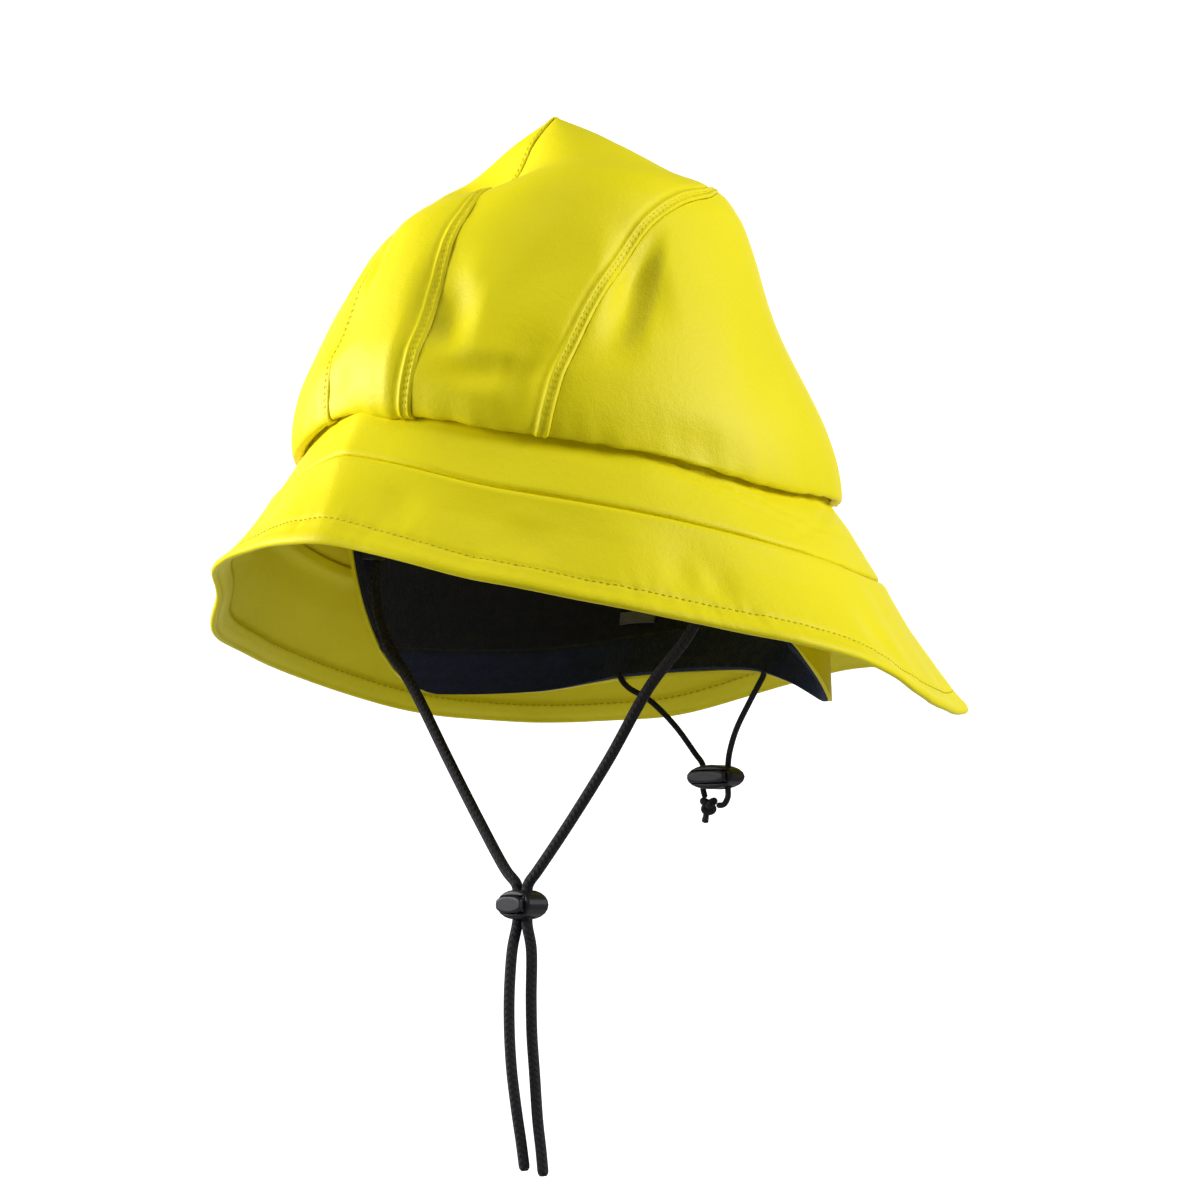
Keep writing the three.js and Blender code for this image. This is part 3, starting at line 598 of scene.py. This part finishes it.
class Gore:
    """One gore of the crown. first and second name its seams, and the strip is on second."""

    END = 0.985

    def __init__(self, first, second, seed):
        self.first, self.second, self.seed = first, second, seed
        start, finish = (along_seam(*a) for a in ((first, 0, -1), (second, 0, 1)))
        self.chord = start, finish
        self.start = disc_angle(start) % 360
        self.sweep = (disc_angle(finish) - self.start) % 360
        self.widths = [self.width_at(i / WIDTH_STEPS) for i in range(WIDTH_STEPS + 1)]
        self.length = length_of([self.bare(1, i / 40) for i in range(41)])

    def disc(self, s, v):
        reach = self.END * v
        point = along_seam(self.first, reach, -1).lerp(along_seam(self.second, reach, 1), s)
        edge = on_disc(self.start + self.sweep * s, 0)
        return point + (edge - self.chord[0].lerp(self.chord[1], s)) * (1 - reach) ** 2

    def bare(self, s, v):
        return dome_point(self.disc(s, v), 0)

    def width_at(self, v):
        return length_of([self.bare(i / 12, v) for i in range(13)])

    def width(self, v):
        i = min(int(v * WIDTH_STEPS), WIDTH_STEPS - 1)
        return self.widths[i] + (self.widths[i + 1] - self.widths[i]) * (v * WIDTH_STEPS - i)

    def point(self, s, v, lift=0):
        disc = self.disc(s, v)
        angle, up = disc_angle(disc), 1 - min(1, disc.length)
        width = self.width(v)
        to_strip, to_first = (1 - s) * width, s * width
        way = v * self.length
        swell = math.sin(math.pi * min(v * self.END / PUFF_SHARE, 1))
        out = GORE_PUFF * math.sin(math.pi * s) * swell
        out += lift - dent_at(angle, up) - dent_at(angle, up, FOLD_ROWS)
        out += CREASE_DEEP * front_crease(angle, 5.5 + 4 * up, 13) * ease(0.5, 0.08, up)
        fade = ease(0, 22, width)
        # The raised strip has a fine ridge along each side and a shallow channel under each
        # row of stitches.
        raised = ease(FELL_WIDTH + 0.8, FELL_WIDTH - 0.2, to_strip) * ease(-0.2, 0.9, to_strip)
        out += 0.22 * raised * fade
        out += (0.38 * bell(to_strip - 1.0, 0.7) + 0.4 * bell(to_strip - FELL_WIDTH, 0.6)) * fade
        out -= 0.08 * sum(bell(to_strip - inset, 0.5) for inset in STITCH_LINES) * fade
        out -= 0.3 * bell(to_strip - FELL_WIDTH - 1.8, 1.1) * fade
        out -= 0.1 * bell(to_strip + 0.2, 0.3) + 0.08 * bell(to_first, 0.8)
        # Short puckers that the stitches draw in, and slow unevenness of the cloth.
        near = math.exp(-to_strip / 9) + 0.8 * math.exp(-to_first / 7)
        out += 0.20 * near * noise.noise(Vector((way / 4.6, to_strip / 16, self.seed)))
        out += 0.55 * near * noise.noise(Vector((way / 11, to_strip / 30, self.seed + 7)))
        out += 0.9 * noise.noise(disc * 2.7 + Vector((0, 0, self.seed)))
        # Gathers along the bottom edge.
        gather = math.exp(-up / 0.055) * ease(0.0, 0.03, up)
        out += 1.5 * gather * noise.noise(Vector((angle / 4.2, up * 5, 3)))
        return dome_point(disc, out)


def crowded(s, ends):
    """Shares that lie closer together towards both ends."""
    return s - ends * math.sin(2 * math.pi * s) / (2 * math.pi)


def rain_cloth(name, color):
    """Coated cloth: satin, with a fine even grain and a faint weave through the coating."""
    finish = Finish(name, color, 0.47, Specular_IOR_Level=0.23)
    patches = finish.noise(9, 3)
    fine = finish.noise(420, 4)
    weave = finish.node("TexVoronoi", {"feature": "F1"},
                        {"Vector": finish.place(), "Scale": 1400})
    deep = tuple(c * 0.93 for c in color)
    pale = tuple(min(c * 1.07, 1) for c in color)
    finish.set("Base Color", finish.blend((patches * 1.6 - 0.3).clamped(0, 1), deep, pale))
    finish.set("Roughness", 0.42 + patches * 0.10 + fine * 0.06)
    finish.relief((fine, 0.00014), (weave, 0.00006))
    return finish.material


YELLOW = (0.85, 0.745, 0.0015)
outer_cloth = rain_cloth("yellow_rain_cloth", YELLOW)


def thread(name, color, roughness, deep):
    finish = Finish(name, color, roughness)
    finish.relief((finish.noise(3000, 2), deep))
    return finish.material


hem_thread = thread("yellow_thread", (0.62, 0.54, 0.01), 0.6, 0.00008)
seam_thread = thread("fine_yellow_thread", (0.80, 0.71, 0.004), 0.5, 0.00006)


def stitch_row(name, points, outs, length, thick, material):
    """A row of sewn stitches on a line of points in millimetres, each a small bead of thread
    whose two ends dip into the cloth."""
    count = max(2, round(length_of(points) / STITCH_PITCH))
    bead = bmesh.new()
    bmesh.ops.create_uvsphere(bead, u_segments=6, v_segments=4, radius=MM)
    row = bmesh.new()
    spots = evenly(points, count)
    ups = [outs[round(i * (len(outs) - 1) / count)] for i in range(count + 1)]
    for a, b, up in zip(spots, spots[1:], ups):
        ahead = (b - a).normalized()
        cross = up.cross(ahead).normalized()
        up = ahead.cross(cross)
        turn = Matrix((ahead, cross, up)).transposed().to_4x4()
        size = Matrix.Diagonal((length / 2, thick / 2, thick / 2, 1))
        middle = Matrix.Translation((a + b) / 2 * MM)
        placed = middle @ turn @ size
        copies = {corner: row.verts.new(placed @ corner.co) for corner in bead.verts}
        for face in bead.faces:
            row.faces.new([copies[corner] for corner in face.verts]).smooth = True
    bead.free()
    return link(name, to_mesh(name, row), material, "rain_cloth")


def shell(piece, wall):
    """Gives a sheet a wall that lies on the inner side of its grid."""
    thick = piece.modifiers.new("wall", "SOLIDIFY")
    thick.thickness = wall * MM
    thick.offset = -1


def row_on(surface, spots):
    """Points a little out of a surface and their outward directions, for a row of stitches."""
    points = [surface(*spot, STITCH_LIFT) for spot in spots]
    outs = [(surface(*spot, 1.0) - surface(*spot, 0)).normalized() for spot in spots]
    return points, outs


GORES = table(
    "name first second across",
    ("crown_front_left", "front", "left", 90),
    ("crown_front_right", "right", "front", 90),
    ("crown_back_left", "left", "back", 130),
    ("crown_back_right", "back", "right", 140))
for seed, row in enumerate(GORES):
    gore = Gore(row["first"], row["second"], 10 * seed)
    grid = moved_grid(row["across"], 170, lambda s, v: gore.point(crowded(s, 0.72), v),
                      size=(gore.width(0) * MM, gore.length * MM))
    piece = link(row["name"] + "_gore", to_mesh(row["name"], grid), outer_cloth, "rain_cloth",
                 "hat", row["name"])
    shell(piece, WALL)
    for index, inset in enumerate(STITCH_LINES):
        heights = [0.02 + 0.93 * i / 120 for i in range(121)]
        spots = [(1 - inset / gore.width(v), v) for v in heights if gore.width(v) > 24]
        points, outs = row_on(gore.point, spots)
        stitch_row(f"{row['name']}_stitches_{index + 1}", points, outs, 1.5, 0.3,
                               seam_thread)
    sum(gore.widths) / len(gore.widths) * gore.length * MM * MM

# Band and brim
# The band stands up inside the crown's rolled edge and is seamed to the sloping brim. The
# brim's hem is turned up once inside and held by one row of stitches.
BAND_EASE, BAND_TUCK, BAND_SHARE = 0.8, 6, 0.37
BRIM_REACH, BRIM_DROP, HEM_WIDTH, HEM_WALL = 45, 66, 7.5, 2.6
HEM_STITCHES = HEM_WIDTH + 0.6       # up from the edge
HEM_CROWDING = 1.7                   # how much closer the grid's lines lie at the hem
WAVE_GROWTH = 1.5
ALLOWANCE, ALLOWANCE_SHARE = 3.2, 0.93
BAND_ARC, BRIM_ARC = 110, 130        # radii that turn an angle into a length
# The brim's section: shares of its drop, and of its reach at each.
BRIM_SECTION = [(0.00, 0.00), (0.12, 0.14), (0.37, 0.38), (0.60, 0.58), (0.82, 0.81),
                (1.00, 1.00)]
WAVE_ROWS = table(
    "angle wide out low",
    (-2, 12, 3.0, 0.0),
    (-30, 32, 1.0, -13.0),
    (-41, 16, -6.2, 0.0),
    (-57, 16, 3.2, 0.0),
    (-80, 40, 0.0, -3.0),
    (-128, 36, 0.0, -3.5),
    (66, 14, -2.0, 0.0),
    (100, 16, 2.0, 1.0))


def wave_at(name, angle):
    return sum(w[name] * hump(wrap(angle - w["angle"]), w["wide"]) for w in WAVE_ROWS)


def brim_out(down):
    """The share of the reach at a share of the drop, on straight lines between the rows."""
    i = 0
    while i < len(BRIM_SECTION) - 2 and down > BRIM_SECTION[i + 1][0]:
        i += 1
    (a, p), (b, q) = BRIM_SECTION[i], BRIM_SECTION[i + 1]
    return p + (q - p) * min(max((down - a) / (b - a), 0), 1)


def drop_at(angle):
    return BRIM_DROP * around("drop", angle)


def brim_point(angle, down, outward):
    """A point of the band and brim, at a share of their drop, moved out along the normal."""
    start = crown_radius(angle) * CROWN_ROWS[0]["wide"] - BAND_EASE
    reach = crown_radius(angle) + BRIM_REACH * around("reach", angle) - start
    drop = drop_at(angle)
    waving = min(max(down - BAND_SHARE / 2, 0), 1) ** WAVE_GROWTH
    slope = reach * (brim_out(down + 0.06) - brim_out(down - 0.06))
    run = Vector((slope, -0.12 * drop)).normalized()
    radius = start + reach * brim_out(max(down, 0)) + waving * wave_at("out", angle)
    z = crown_edge_z(angle) - drop * down - waving * wave_at("low", angle)
    return polar(angle, radius - run.y * outward, z + run.x * outward)


BRIM_DENTS = table(
    "angle wide deep",
    (35, 7, 1.3), (61, 4.5, 0.8), (68, 4.5, 1.0), (14, 5, 0.8), (-24, 6, 1.2),
    (104, 8, 1.4), (152, 10, 1.6), (-96, 8, 1.3), (-150, 9, 1.5))


def brim_relief(angle, below, hem):
    """Folds, lip and channel of the outer face. below is the way down from the brim's seam and
    hem the way up from its edge, both in millimetres."""
    arc = math.radians(angle) * BRIM_ARC
    out = 0.9 * math.exp(-max(below, 0) / 4) - 0.9 * bell(below, 0.7)
    crease = front_crease(angle, 4 * ease(0, 30, below), 17)
    out += CREASE_DEEP * crease * (0.5 + 0.5 * ease(0, 8, hem))
    out -= 0.45 * bell(hem - HEM_STITCHES, 0.9)
    out += 0.9 * bell(hem - 2.2, 2.2)
    out += 0.42 * bell(hem - HEM_WIDTH, 6) * noise.noise(Vector((arc / 3.6, hem / 12, 1)))
    dented = sum(d["deep"] * hump(wrap(angle - d["angle"]), d["wide"]) for d in BRIM_DENTS)
    out -= dented * hump(hem - HEM_WIDTH - 10, 11)
    out += 1.3 * ease(0, 12, below) * noise.noise(Vector((arc / 26, below / 60, 5)))
    return out


def ring(name, steps, levels, place, node):
    """A closed ring of cloth whose closed section is placed at each angle."""
    grid = moved_grid(steps, levels, lambda s, t: place(-180 + 360 * s, t))
    return link(name, to_mesh(name, grid), outer_cloth, "rain_cloth", "hat", node)


def rounded(to_edge, half):
    """How far a wall's face draws in beside its rounded edge."""
    return half * (1 - math.sqrt(1 - max(0, 1 - max(to_edge, 0) / half) ** 2))


# Fine creases that slant across the band: start is the angle at its top, slope the degrees
# for each millimetre down.
BAND_FOLDS = table(
    "start slope wide deep",
    (66, 3.4, 2.2, 0.9),
    (58, 2.6, 1.8, 0.6),
    (-32, -1.2, 2.4, 0.8),
    (128, -2.0, 3.0, 0.9))


def band_point(angle, t):
    """The section runs down the outer face for the first half of t and up the inner face."""
    drop = drop_at(angle)
    top = -BAND_TUCK / drop
    face = min(t, 1 - t) * 2
    down = top + (BAND_SHARE - top) * face
    to_seam, to_top = (BAND_SHARE - down) * drop, (down - top) * drop
    arc = math.radians(angle) * BAND_ARC
    out = 0.35 * noise.noise(Vector((arc / 20, face * 2, 11))) * ease(0, 0.3, face)
    out -= 0.5 * bell(to_seam, 0.8)
    out += 4.0 * front_crease(angle, -3 + 3 * face, 15)
    for fold in BAND_FOLDS:
        line = fold["start"] + fold["slope"] * (down * drop)
        out -= fold["deep"] * bell(wrap(angle - line), fold["wide"]) * ease(1.0, 0.5, face)
    inward = max(rounded(to_seam, WALL / 2), rounded(to_top, WALL / 2))
    return brim_point(angle, down, out - (inward if t <= 0.5 else WALL - inward))


def skirt_point(angle, t, lift=0):
    """The section starts on the outside of the seam allowance, which is turned up inside the
    band, runs down the outer face to the hem, and comes back up the inner face."""
    drop = drop_at(angle)
    full = (1 - BAND_SHARE) * drop - SEAM_GAP
    turned_up = max(0, abs(2 * t - 1) - ALLOWANCE_SHARE) / (1 - ALLOWANCE_SHARE)
    hem = full * min(1, abs(1 - 2 * t) / ALLOWANCE_SHARE) ** HEM_CROWDING
    down = 1 - hem / drop
    half = (WALL + (HEM_WALL - WALL) * ease(HEM_WIDTH + 2.2, HEM_WIDTH - 0.4, hem)) / 2
    out = brim_relief(angle, full - hem, hem)
    if turned_up > 0:
        deep = WALL + (0.45 + 0.25 * turned_up ** 4 if t < 0.5 else 1.5 - 0.8 * turned_up)
        return brim_point(angle, down - ALLOWANCE * turned_up / drop,
                          out * (1 - turned_up) - deep)
    if t > 0.5:
        out *= 0.4 + 0.6 * ease(6, 0, hem)
        lip = 1.5 * ease(5, 0, full - hem)
        return brim_point(angle, down, out - 2 * half + rounded(hem, half) - lip - lift)
    return brim_point(angle, down, out - max(rounded(hem, half), rounded(full - hem, WALL / 2))
                      + lift)


band = ring("brim_band_cloth", 420, 44, band_point, "brim_band")

skirt = ring("brim_skirt_cloth", 620, 108, skirt_point, "brim_skirt")


def hem_share(angle, hem, inner):
    """The share of the brim's section that lies so far up from its edge."""
    full = (1 - BAND_SHARE) * drop_at(angle) - SEAM_GAP
    t = (1 - ALLOWANCE_SHARE * (hem / full) ** (1 / HEM_CROWDING)) / 2
    return 1 - t if inner else t


for inner in (False, True):
    angles = [-180 + 360 * i / 700 for i in range(701)]
    spots = [(angle, hem_share(angle, HEM_STITCHES, inner)) for angle in angles]
    points, outs = row_on(skirt_point, spots)
    side = "inside" if inner else "outside"
    stitch_row(f"hem_stitches_{side}", points, outs, 1.75, 0.55, hem_thread)

# Curtain
# It hangs inside the brim round the ears and the nape: rain cloth outside, and inside a dark
# fleece whose lower strip, below a seam, is navy. Its hem is drawn in at the nape.
FLAP_TUCK, FLAP_EASE = 4, 0.7
FLAP_BOTTOM_RADIUS, FLAP_BOTTOM_Z, FLAP_BEND = 99, -76, 2.2
FLAP_TOP_SPREAD, FLAP_CORNER_LEFT, FLAP_CORNER_RIGHT = 107, 50, 25
LINING_WALL, LAYER_GAP, LINING_INSET = 1.5, 0.3, 0.5
FLAP_AROUND, FLAP_HEIGHT, CORNER_RADIUS = 300, 62, 14
FLAP_FLAT, FLAP_UV = (0.37, 0.067), (0.36, 0.065)
SHELL_RIM = 0.5                      # the radius of a layer's rounded edge
FLAP_ROWS = table(
    "angle reach sink",
    (70, 0.97, 2), (95, 0.99, 4),
    (118, 1.00, 7), (134, 0.99, 7),
    (146, 0.88, 0), (156, 0.80, -4),
    (180, 0.76, -5), (204, 0.80, -4),
    (214, 0.90, -3), (230, 0.98, 0),
    (262, 1.00, 1), (290, 0.97, 0))


def flap_top_z(angle):
    return crown_edge_z(angle) - FLAP_TUCK


def flap_top_radius(angle):
    upper, lower = brim_point(angle, 0, -WALL), brim_point(angle, 0.12, -WALL)
    t = (upper.z - flap_top_z(angle)) / (upper.z - lower.z)
    inner = [math.hypot(p.x, p.y) for p in (upper, lower)]
    return inner[0] + (inner[1] - inner[0]) * t - FLAP_EASE


def flap_bottom_z(angle):
    return FLAP_BOTTOM_Z - column(FLAP_ROWS, "angle", "sink", angle)


def flap_at(angle, down, inward):
    """A point of the curtain at a share of its drop, moved in from the shell's outer face."""
    top = flap_top_radius(angle)
    bottom = FLAP_BOTTOM_RADIUS * column(FLAP_ROWS, "angle", "reach", angle)
    top_z, bottom_z = flap_top_z(angle), flap_bottom_z(angle)

    def radius(q):
        return top + (bottom - top) * max(q, 0) ** FLAP_BEND

    run = Vector((radius(down + 0.05) - radius(down - 0.05), 0.1 * (bottom_z - top_z)))
    run.normalize()
    return polar(angle, radius(down) + run.y * inward,
                 top_z + (bottom_z - top_z) * down - run.x * inward)


def flap_angle(side, down, inset=0.0):
    """The angle at a share of the way round, between the ends that cut back to the corners."""
    corner = FLAP_CORNER_LEFT if side < 0.5 else FLAP_CORNER_RIGHT
    spread = FLAP_TOP_SPREAD - corner * down ** 2
    return 180 + (2 * side - 1) * (1 - inset / FLAP_TOP_SPREAD) * spread


def seam_z(angle):
    """Height of the lining's seam."""
    return -60 + 6 * hump(angle - 180, 60)


def cornered(side, down):
    """The way down the cloth with its bottom corners rounded off."""
    short = max(0, CORNER_RADIUS - min(side, 1 - side) * FLAP_AROUND)
    cut = CORNER_RADIUS - math.sqrt(CORNER_RADIUS ** 2 - short ** 2)
    return down * (1 - cut / FLAP_HEIGHT)


def shell_point(side, down):
    down = cornered(side, down)
    angle = flap_angle(side, down)
    soft = noise.noise(Vector((angle / 14, down * 1.5, 21)))
    return flap_at(angle, down, 0.35 * (1 - soft))


def lining_point(side, down):
    down = cornered(side, down)
    angle = flap_angle(side, down, LINING_INSET)
    flat = flap_at(angle, down, 0)
    to_seam = flat.z - seam_z(angle)
    edge = min(side, 1 - side) * FLAP_AROUND
    to_hem = (1 - down) * FLAP_HEIGHT
    soft = 0.5 + 0.5 * noise.noise(Vector((angle / 9, down * 3, 31)))
    deep = WALL + LAYER_GAP + 0.5 * soft + 0.35 * bell(to_seam + 2.2, 2.0)
    deep -= 0.35 * bell(to_seam, 0.8)
    deep -= 0.25 * (bell(edge - 5, 1.2) + bell(to_hem - 6, 1.0))
    return flap_at(angle, down, max(deep, WALL + LAYER_GAP))


def lining_zone(side, down):
    """1 on the navy strip below the lining's seam, and 0 above it."""
    down = cornered(side, down)
    angle = flap_angle(side, down, LINING_INSET)
    return ease(1.0, -1.0, flap_at(angle, down, 0).z - seam_z(angle))


def rim(piece, wall, radius):
    """The wall goes inwards from the grid, and its rim is rounded."""
    shell(piece, wall)
    edge = piece.modifiers.new("rim", "BEVEL")
    edge.width = radius * MM
    edge.segments = 3
    edge.limit_method = "ANGLE"
    edge.angle_limit = math.radians(60)


def face_out(shape):
    """Turns an open sheet so that its faces look away from the hat's middle."""
    total = sum(face.normal.dot(Vector((*face.calc_center_median().xy, 0))) * face.calc_area()
                for face in shape.faces)
    if total <= 0:
        bmesh.ops.reverse_faces(shape, faces=shape.faces)
    return shape


flap_grid = face_out(moved_grid(260, 70, shell_point, size=FLAP_UV))
flap_shell = link("curtain_cloth", to_mesh("curtain_cloth", flap_grid), outer_cloth,
                  "rain_cloth", "hat", "neck_flap_shell")
rim(flap_shell, WALL, SHELL_RIM)


def fleece(name):
    """Brushed fleece: a short matted pile, near-black above the lining's seam, navy below."""
    finish = Finish(name, (0.010, 0.012, 0.02), 0.96, Sheen_Weight=0.35, Sheen_Roughness=0.5,
                    Sheen_Tint=(0.25, 0.3, 0.5, 1))
    zone = finish.node("Attribute", {"attribute_name": "zone"}, output="Fac")
    pile = finish.noise(900, 4)
    matted = finish.noise(160, 3)
    upper = finish.blend(matted, (0.0045, 0.0050, 0.0075), (0.011, 0.012, 0.017))
    lower = finish.blend(matted, (0.0055, 0.0095, 0.030), (0.013, 0.023, 0.066))
    seam = zone * (1 - zone) * 4
    cloth = finish.blend(zone, upper, lower)
    finish.set("Base Color", finish.blend(seam, cloth, (0.026, 0.029, 0.030)))
    finish.relief((matted, 0.0006), (pile, 0.0005))
    return finish.material


lining_grid = face_out(moved_grid(260, 90, lining_point, size=FLAP_UV, zone=lining_zone))
lining = link("curtain_fleece", to_mesh("curtain_fleece", lining_grid), fleece("dark_fleece"),
              "fleece", "hat", "neck_flap_lining")
rim(lining, LINING_WALL, SHELL_RIM)

# Label and chin tabs
# A small plain grey tab of woven tape is sewn to the lining by its two ends. A folded loop of
# black tape at each temple holds the chin cord.
LABEL_WIDTH, LABEL_HEIGHT, LABEL_THICK, LABEL_EASE = 15.5, 5, 0.7, 0.4
LABEL_ANGLE, LABEL_Z = 205, -49
TAB_WIDTH, TAB_HEIGHT, TAB_THICK, TAB_ANGLE, TAB_Z = 11, 14, 5, 80, -20
TAB_EASE = 0.05
LINING_FACE = WALL + LAYER_GAP + LINING_WALL + LAYER_GAP


def on_lining(angle, z, width, height, depth_at):
    """Places a patch that lies on the lining's inner face."""
    half = math.degrees(width / 2 / FLAP_BOTTOM_RADIUS)

    def place(s, t):
        a = angle + (2 * s - 1) * half
        down = (flap_top_z(a) - z - (0.5 - t) * height) / (flap_top_z(a) - flap_bottom_z(a))
        return flap_at(a, down, LINING_FACE + depth_at(s, t))

    return place


def tape(name, color, rib):
    """Woven tape: fine ribs across it."""
    finish = Finish(name, color, 0.8, Sheen_Weight=0.2)
    ribs = (finish.split(finish.place())[2] * (2 * math.pi / rib)).math("SINE")
    grain = finish.noise(1800, 3)
    finish.set("Base Color", finish.blend(grain, tuple(0.7 * c for c in color),
                                          tuple(1.3 * c for c in color)))
    finish.relief((ribs, 0.00006), (grain, 0.00012))
    return finish.material


label_place = on_lining(LABEL_ANGLE, LABEL_Z, LABEL_WIDTH, LABEL_HEIGHT,
                        lambda s, t: LABEL_EASE + 0.25 * math.sin(math.pi * s))
label_grid = face_out(moved_grid(60, 20, label_place))
grey_tape = tape("grey_tape", (0.14, 0.145, 0.175), 0.0007)
label = link("plain_label", to_mesh("plain_label", label_grid), grey_tape, "label", "hat",
             "label_tab")
rim(label, LABEL_THICK, 0.2)

black_tape = tape("black_tape", (0.012, 0.012, 0.015), 0.0009)
for side, angle in (("left", TAB_ANGLE), ("right", 360 - TAB_ANGLE)):
    tab_place = on_lining(angle, TAB_Z, TAB_WIDTH, TAB_HEIGHT, lambda s, t: TAB_EASE)
    tab_grid = face_out(moved_grid(22, 28, tab_place))
    name = f"temple_loop_{side}"
    tab = link(name, to_mesh(name, tab_grid), black_tape, "tape", "hat", f"chin_tab_{side}")
    rim(tab, TAB_THICK - 2 * TAB_EASE, 1.2)

# Cord locks
# Moulded plastic: an oval body with a slot for the two cords, and a spring button in front
# whose two legs pass the cords on each side.
VOXEL = 0.00022                      # in metres, the grain of their rounded skin
ROUNDING_PASSES = 8


def moulded_plastic(name):
    finish = Finish(name, (0.012, 0.012, 0.016), 0.45, Specular_IOR_Level=0.3)
    grain = finish.noise(1500, 3)
    scuff = finish.noise(120, 4)
    finish.set("Roughness", 0.40 + scuff * 0.14)
    finish.set("Base Color", finish.blend(scuff, (0.009, 0.009, 0.013), (0.018, 0.018, 0.026)))
    finish.relief((grain, 0.00005))
    return finish.material


lock_plastic = moulded_plastic("black_lock_plastic")


def moulded(name, node, body):
    """A moulded piece with soft edges, from its CAD solid."""
    shape = bmesh.new()
    shape.from_mesh(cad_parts[node].data)
    bmesh.ops.remove_doubles(shape, verts=shape.verts, dist=1e-6)
    piece = link(name, to_mesh(name, shape), lock_plastic, "lock_plastic", body, node)
    skin = piece.modifiers.new("skin", "REMESH")
    skin.mode = "VOXEL"
    skin.voxel_size = VOXEL
    skin.use_smooth_shade = True
    soft = piece.modifiers.new("soft", "SMOOTH")
    soft.factor = 0.5
    soft.iterations = ROUNDING_PASSES


moulded("chin_lock_shell", "chin_lock_body", "hat")
moulded("chin_lock_press_button", "chin_lock_button", "chin_button")
moulded("nape_lock_shell", "neck_lock_body", "hat")
moulded("nape_lock_press_button", "neck_lock_button", "neck_button")

# Studio
# A pale floor that curves up into a bright wall, soft lights from the picture's left, from
# behind on that side and from its right, a weak one above, and a dim surround.
FLOOR_Z = -2.2
FLOOR_BACK, FLOOR_FRONT = 3.4, -7    # where it ends, behind and before the hat
WALL_BEND = 1.6                      # radius of the curve between floor and wall
PAPER_LENGTH, PAPER_WIDTH = 16, 16


def backdrop():
    """A floor that turns up into a wall behind the hat, which shines where the camera sees it."""
    away = -camera.location.xy.to_3d().normalized()
    beside = away.cross(Vector((0, 0, 1)))

    def place(s, t):
        run = FLOOR_FRONT + PAPER_LENGTH * t
        past = max(0, run - FLOOR_BACK)
        turn = min(past / WALL_BEND, math.pi / 2)
        forward = min(run, FLOOR_BACK) + WALL_BEND * math.sin(turn)
        high = WALL_BEND * (1 - math.cos(turn)) + max(0, past - WALL_BEND * math.pi / 2)
        return (away * forward + beside * PAPER_WIDTH * (s - 0.5)
                + Vector((0, 0, FLOOR_Z + high))) / MM

    grid = moved_grid(60, 160, place, zone=lambda s, t: (
        ease(0.68, 0.76, t) * ease(0.98, 0.94, t) * ease(0.16, 0.08, abs(s - 0.5))))
    piece = bpy.data.objects.new("backdrop", to_mesh("backdrop", grid))
    bpy.context.scene.collection.objects.link(piece)
    finish = Finish("pale_paper", (0.80, 0.80, 0.80), 0.9, Emission_Strength=1.0)
    wall = finish.node("Attribute", {"attribute_name": "zone"}, output="Fac")
    finish.set("Emission Color", finish.blend(wall, (0, 0, 0), (1, 1, 1)))
    piece.data.materials.append(finish.material)


backdrop()


def soft_light(name, turn, rise, away, size, power):
    """An area light that looks at the hat, turned from the camera towards the right."""
    light = bpy.data.lights.new(name, "AREA")
    light.shape = "DISK"
    light.size = size
    light.energy = power
    lamp = bpy.data.objects.new(name, light)
    bpy.context.scene.collection.objects.link(lamp)
    azimuth = CAMERA_TURN + math.radians(turn)
    rise = math.radians(rise)
    lamp.location = away * Vector((math.sin(azimuth) * math.cos(rise),
                                   -math.cos(azimuth) * math.cos(rise), math.sin(rise)))
    lamp.rotation_euler = lamp.location.to_track_quat("Z", "Y").to_euler()


soft_light("left_light", -80, 16, 2.0, 0.9, 36)
soft_light("left_edge_light", -108, 14, 2.0, 0.7, 24)
soft_light("right_light", 78, 22, 2.4, 1.5, 54)
soft_light("top_light", 0, 80, 2.2, 1.2, 6)

world = bpy.data.worlds.new("surround")
bpy.context.scene.world = world
world.use_nodes = True
surround = world.node_tree.nodes["Background"]
surround.inputs["Color"].default_value = (1, 1, 1, 1)
surround.inputs["Strength"].default_value = 0.17
bpy.context.scene.view_settings.view_transform = "Standard"
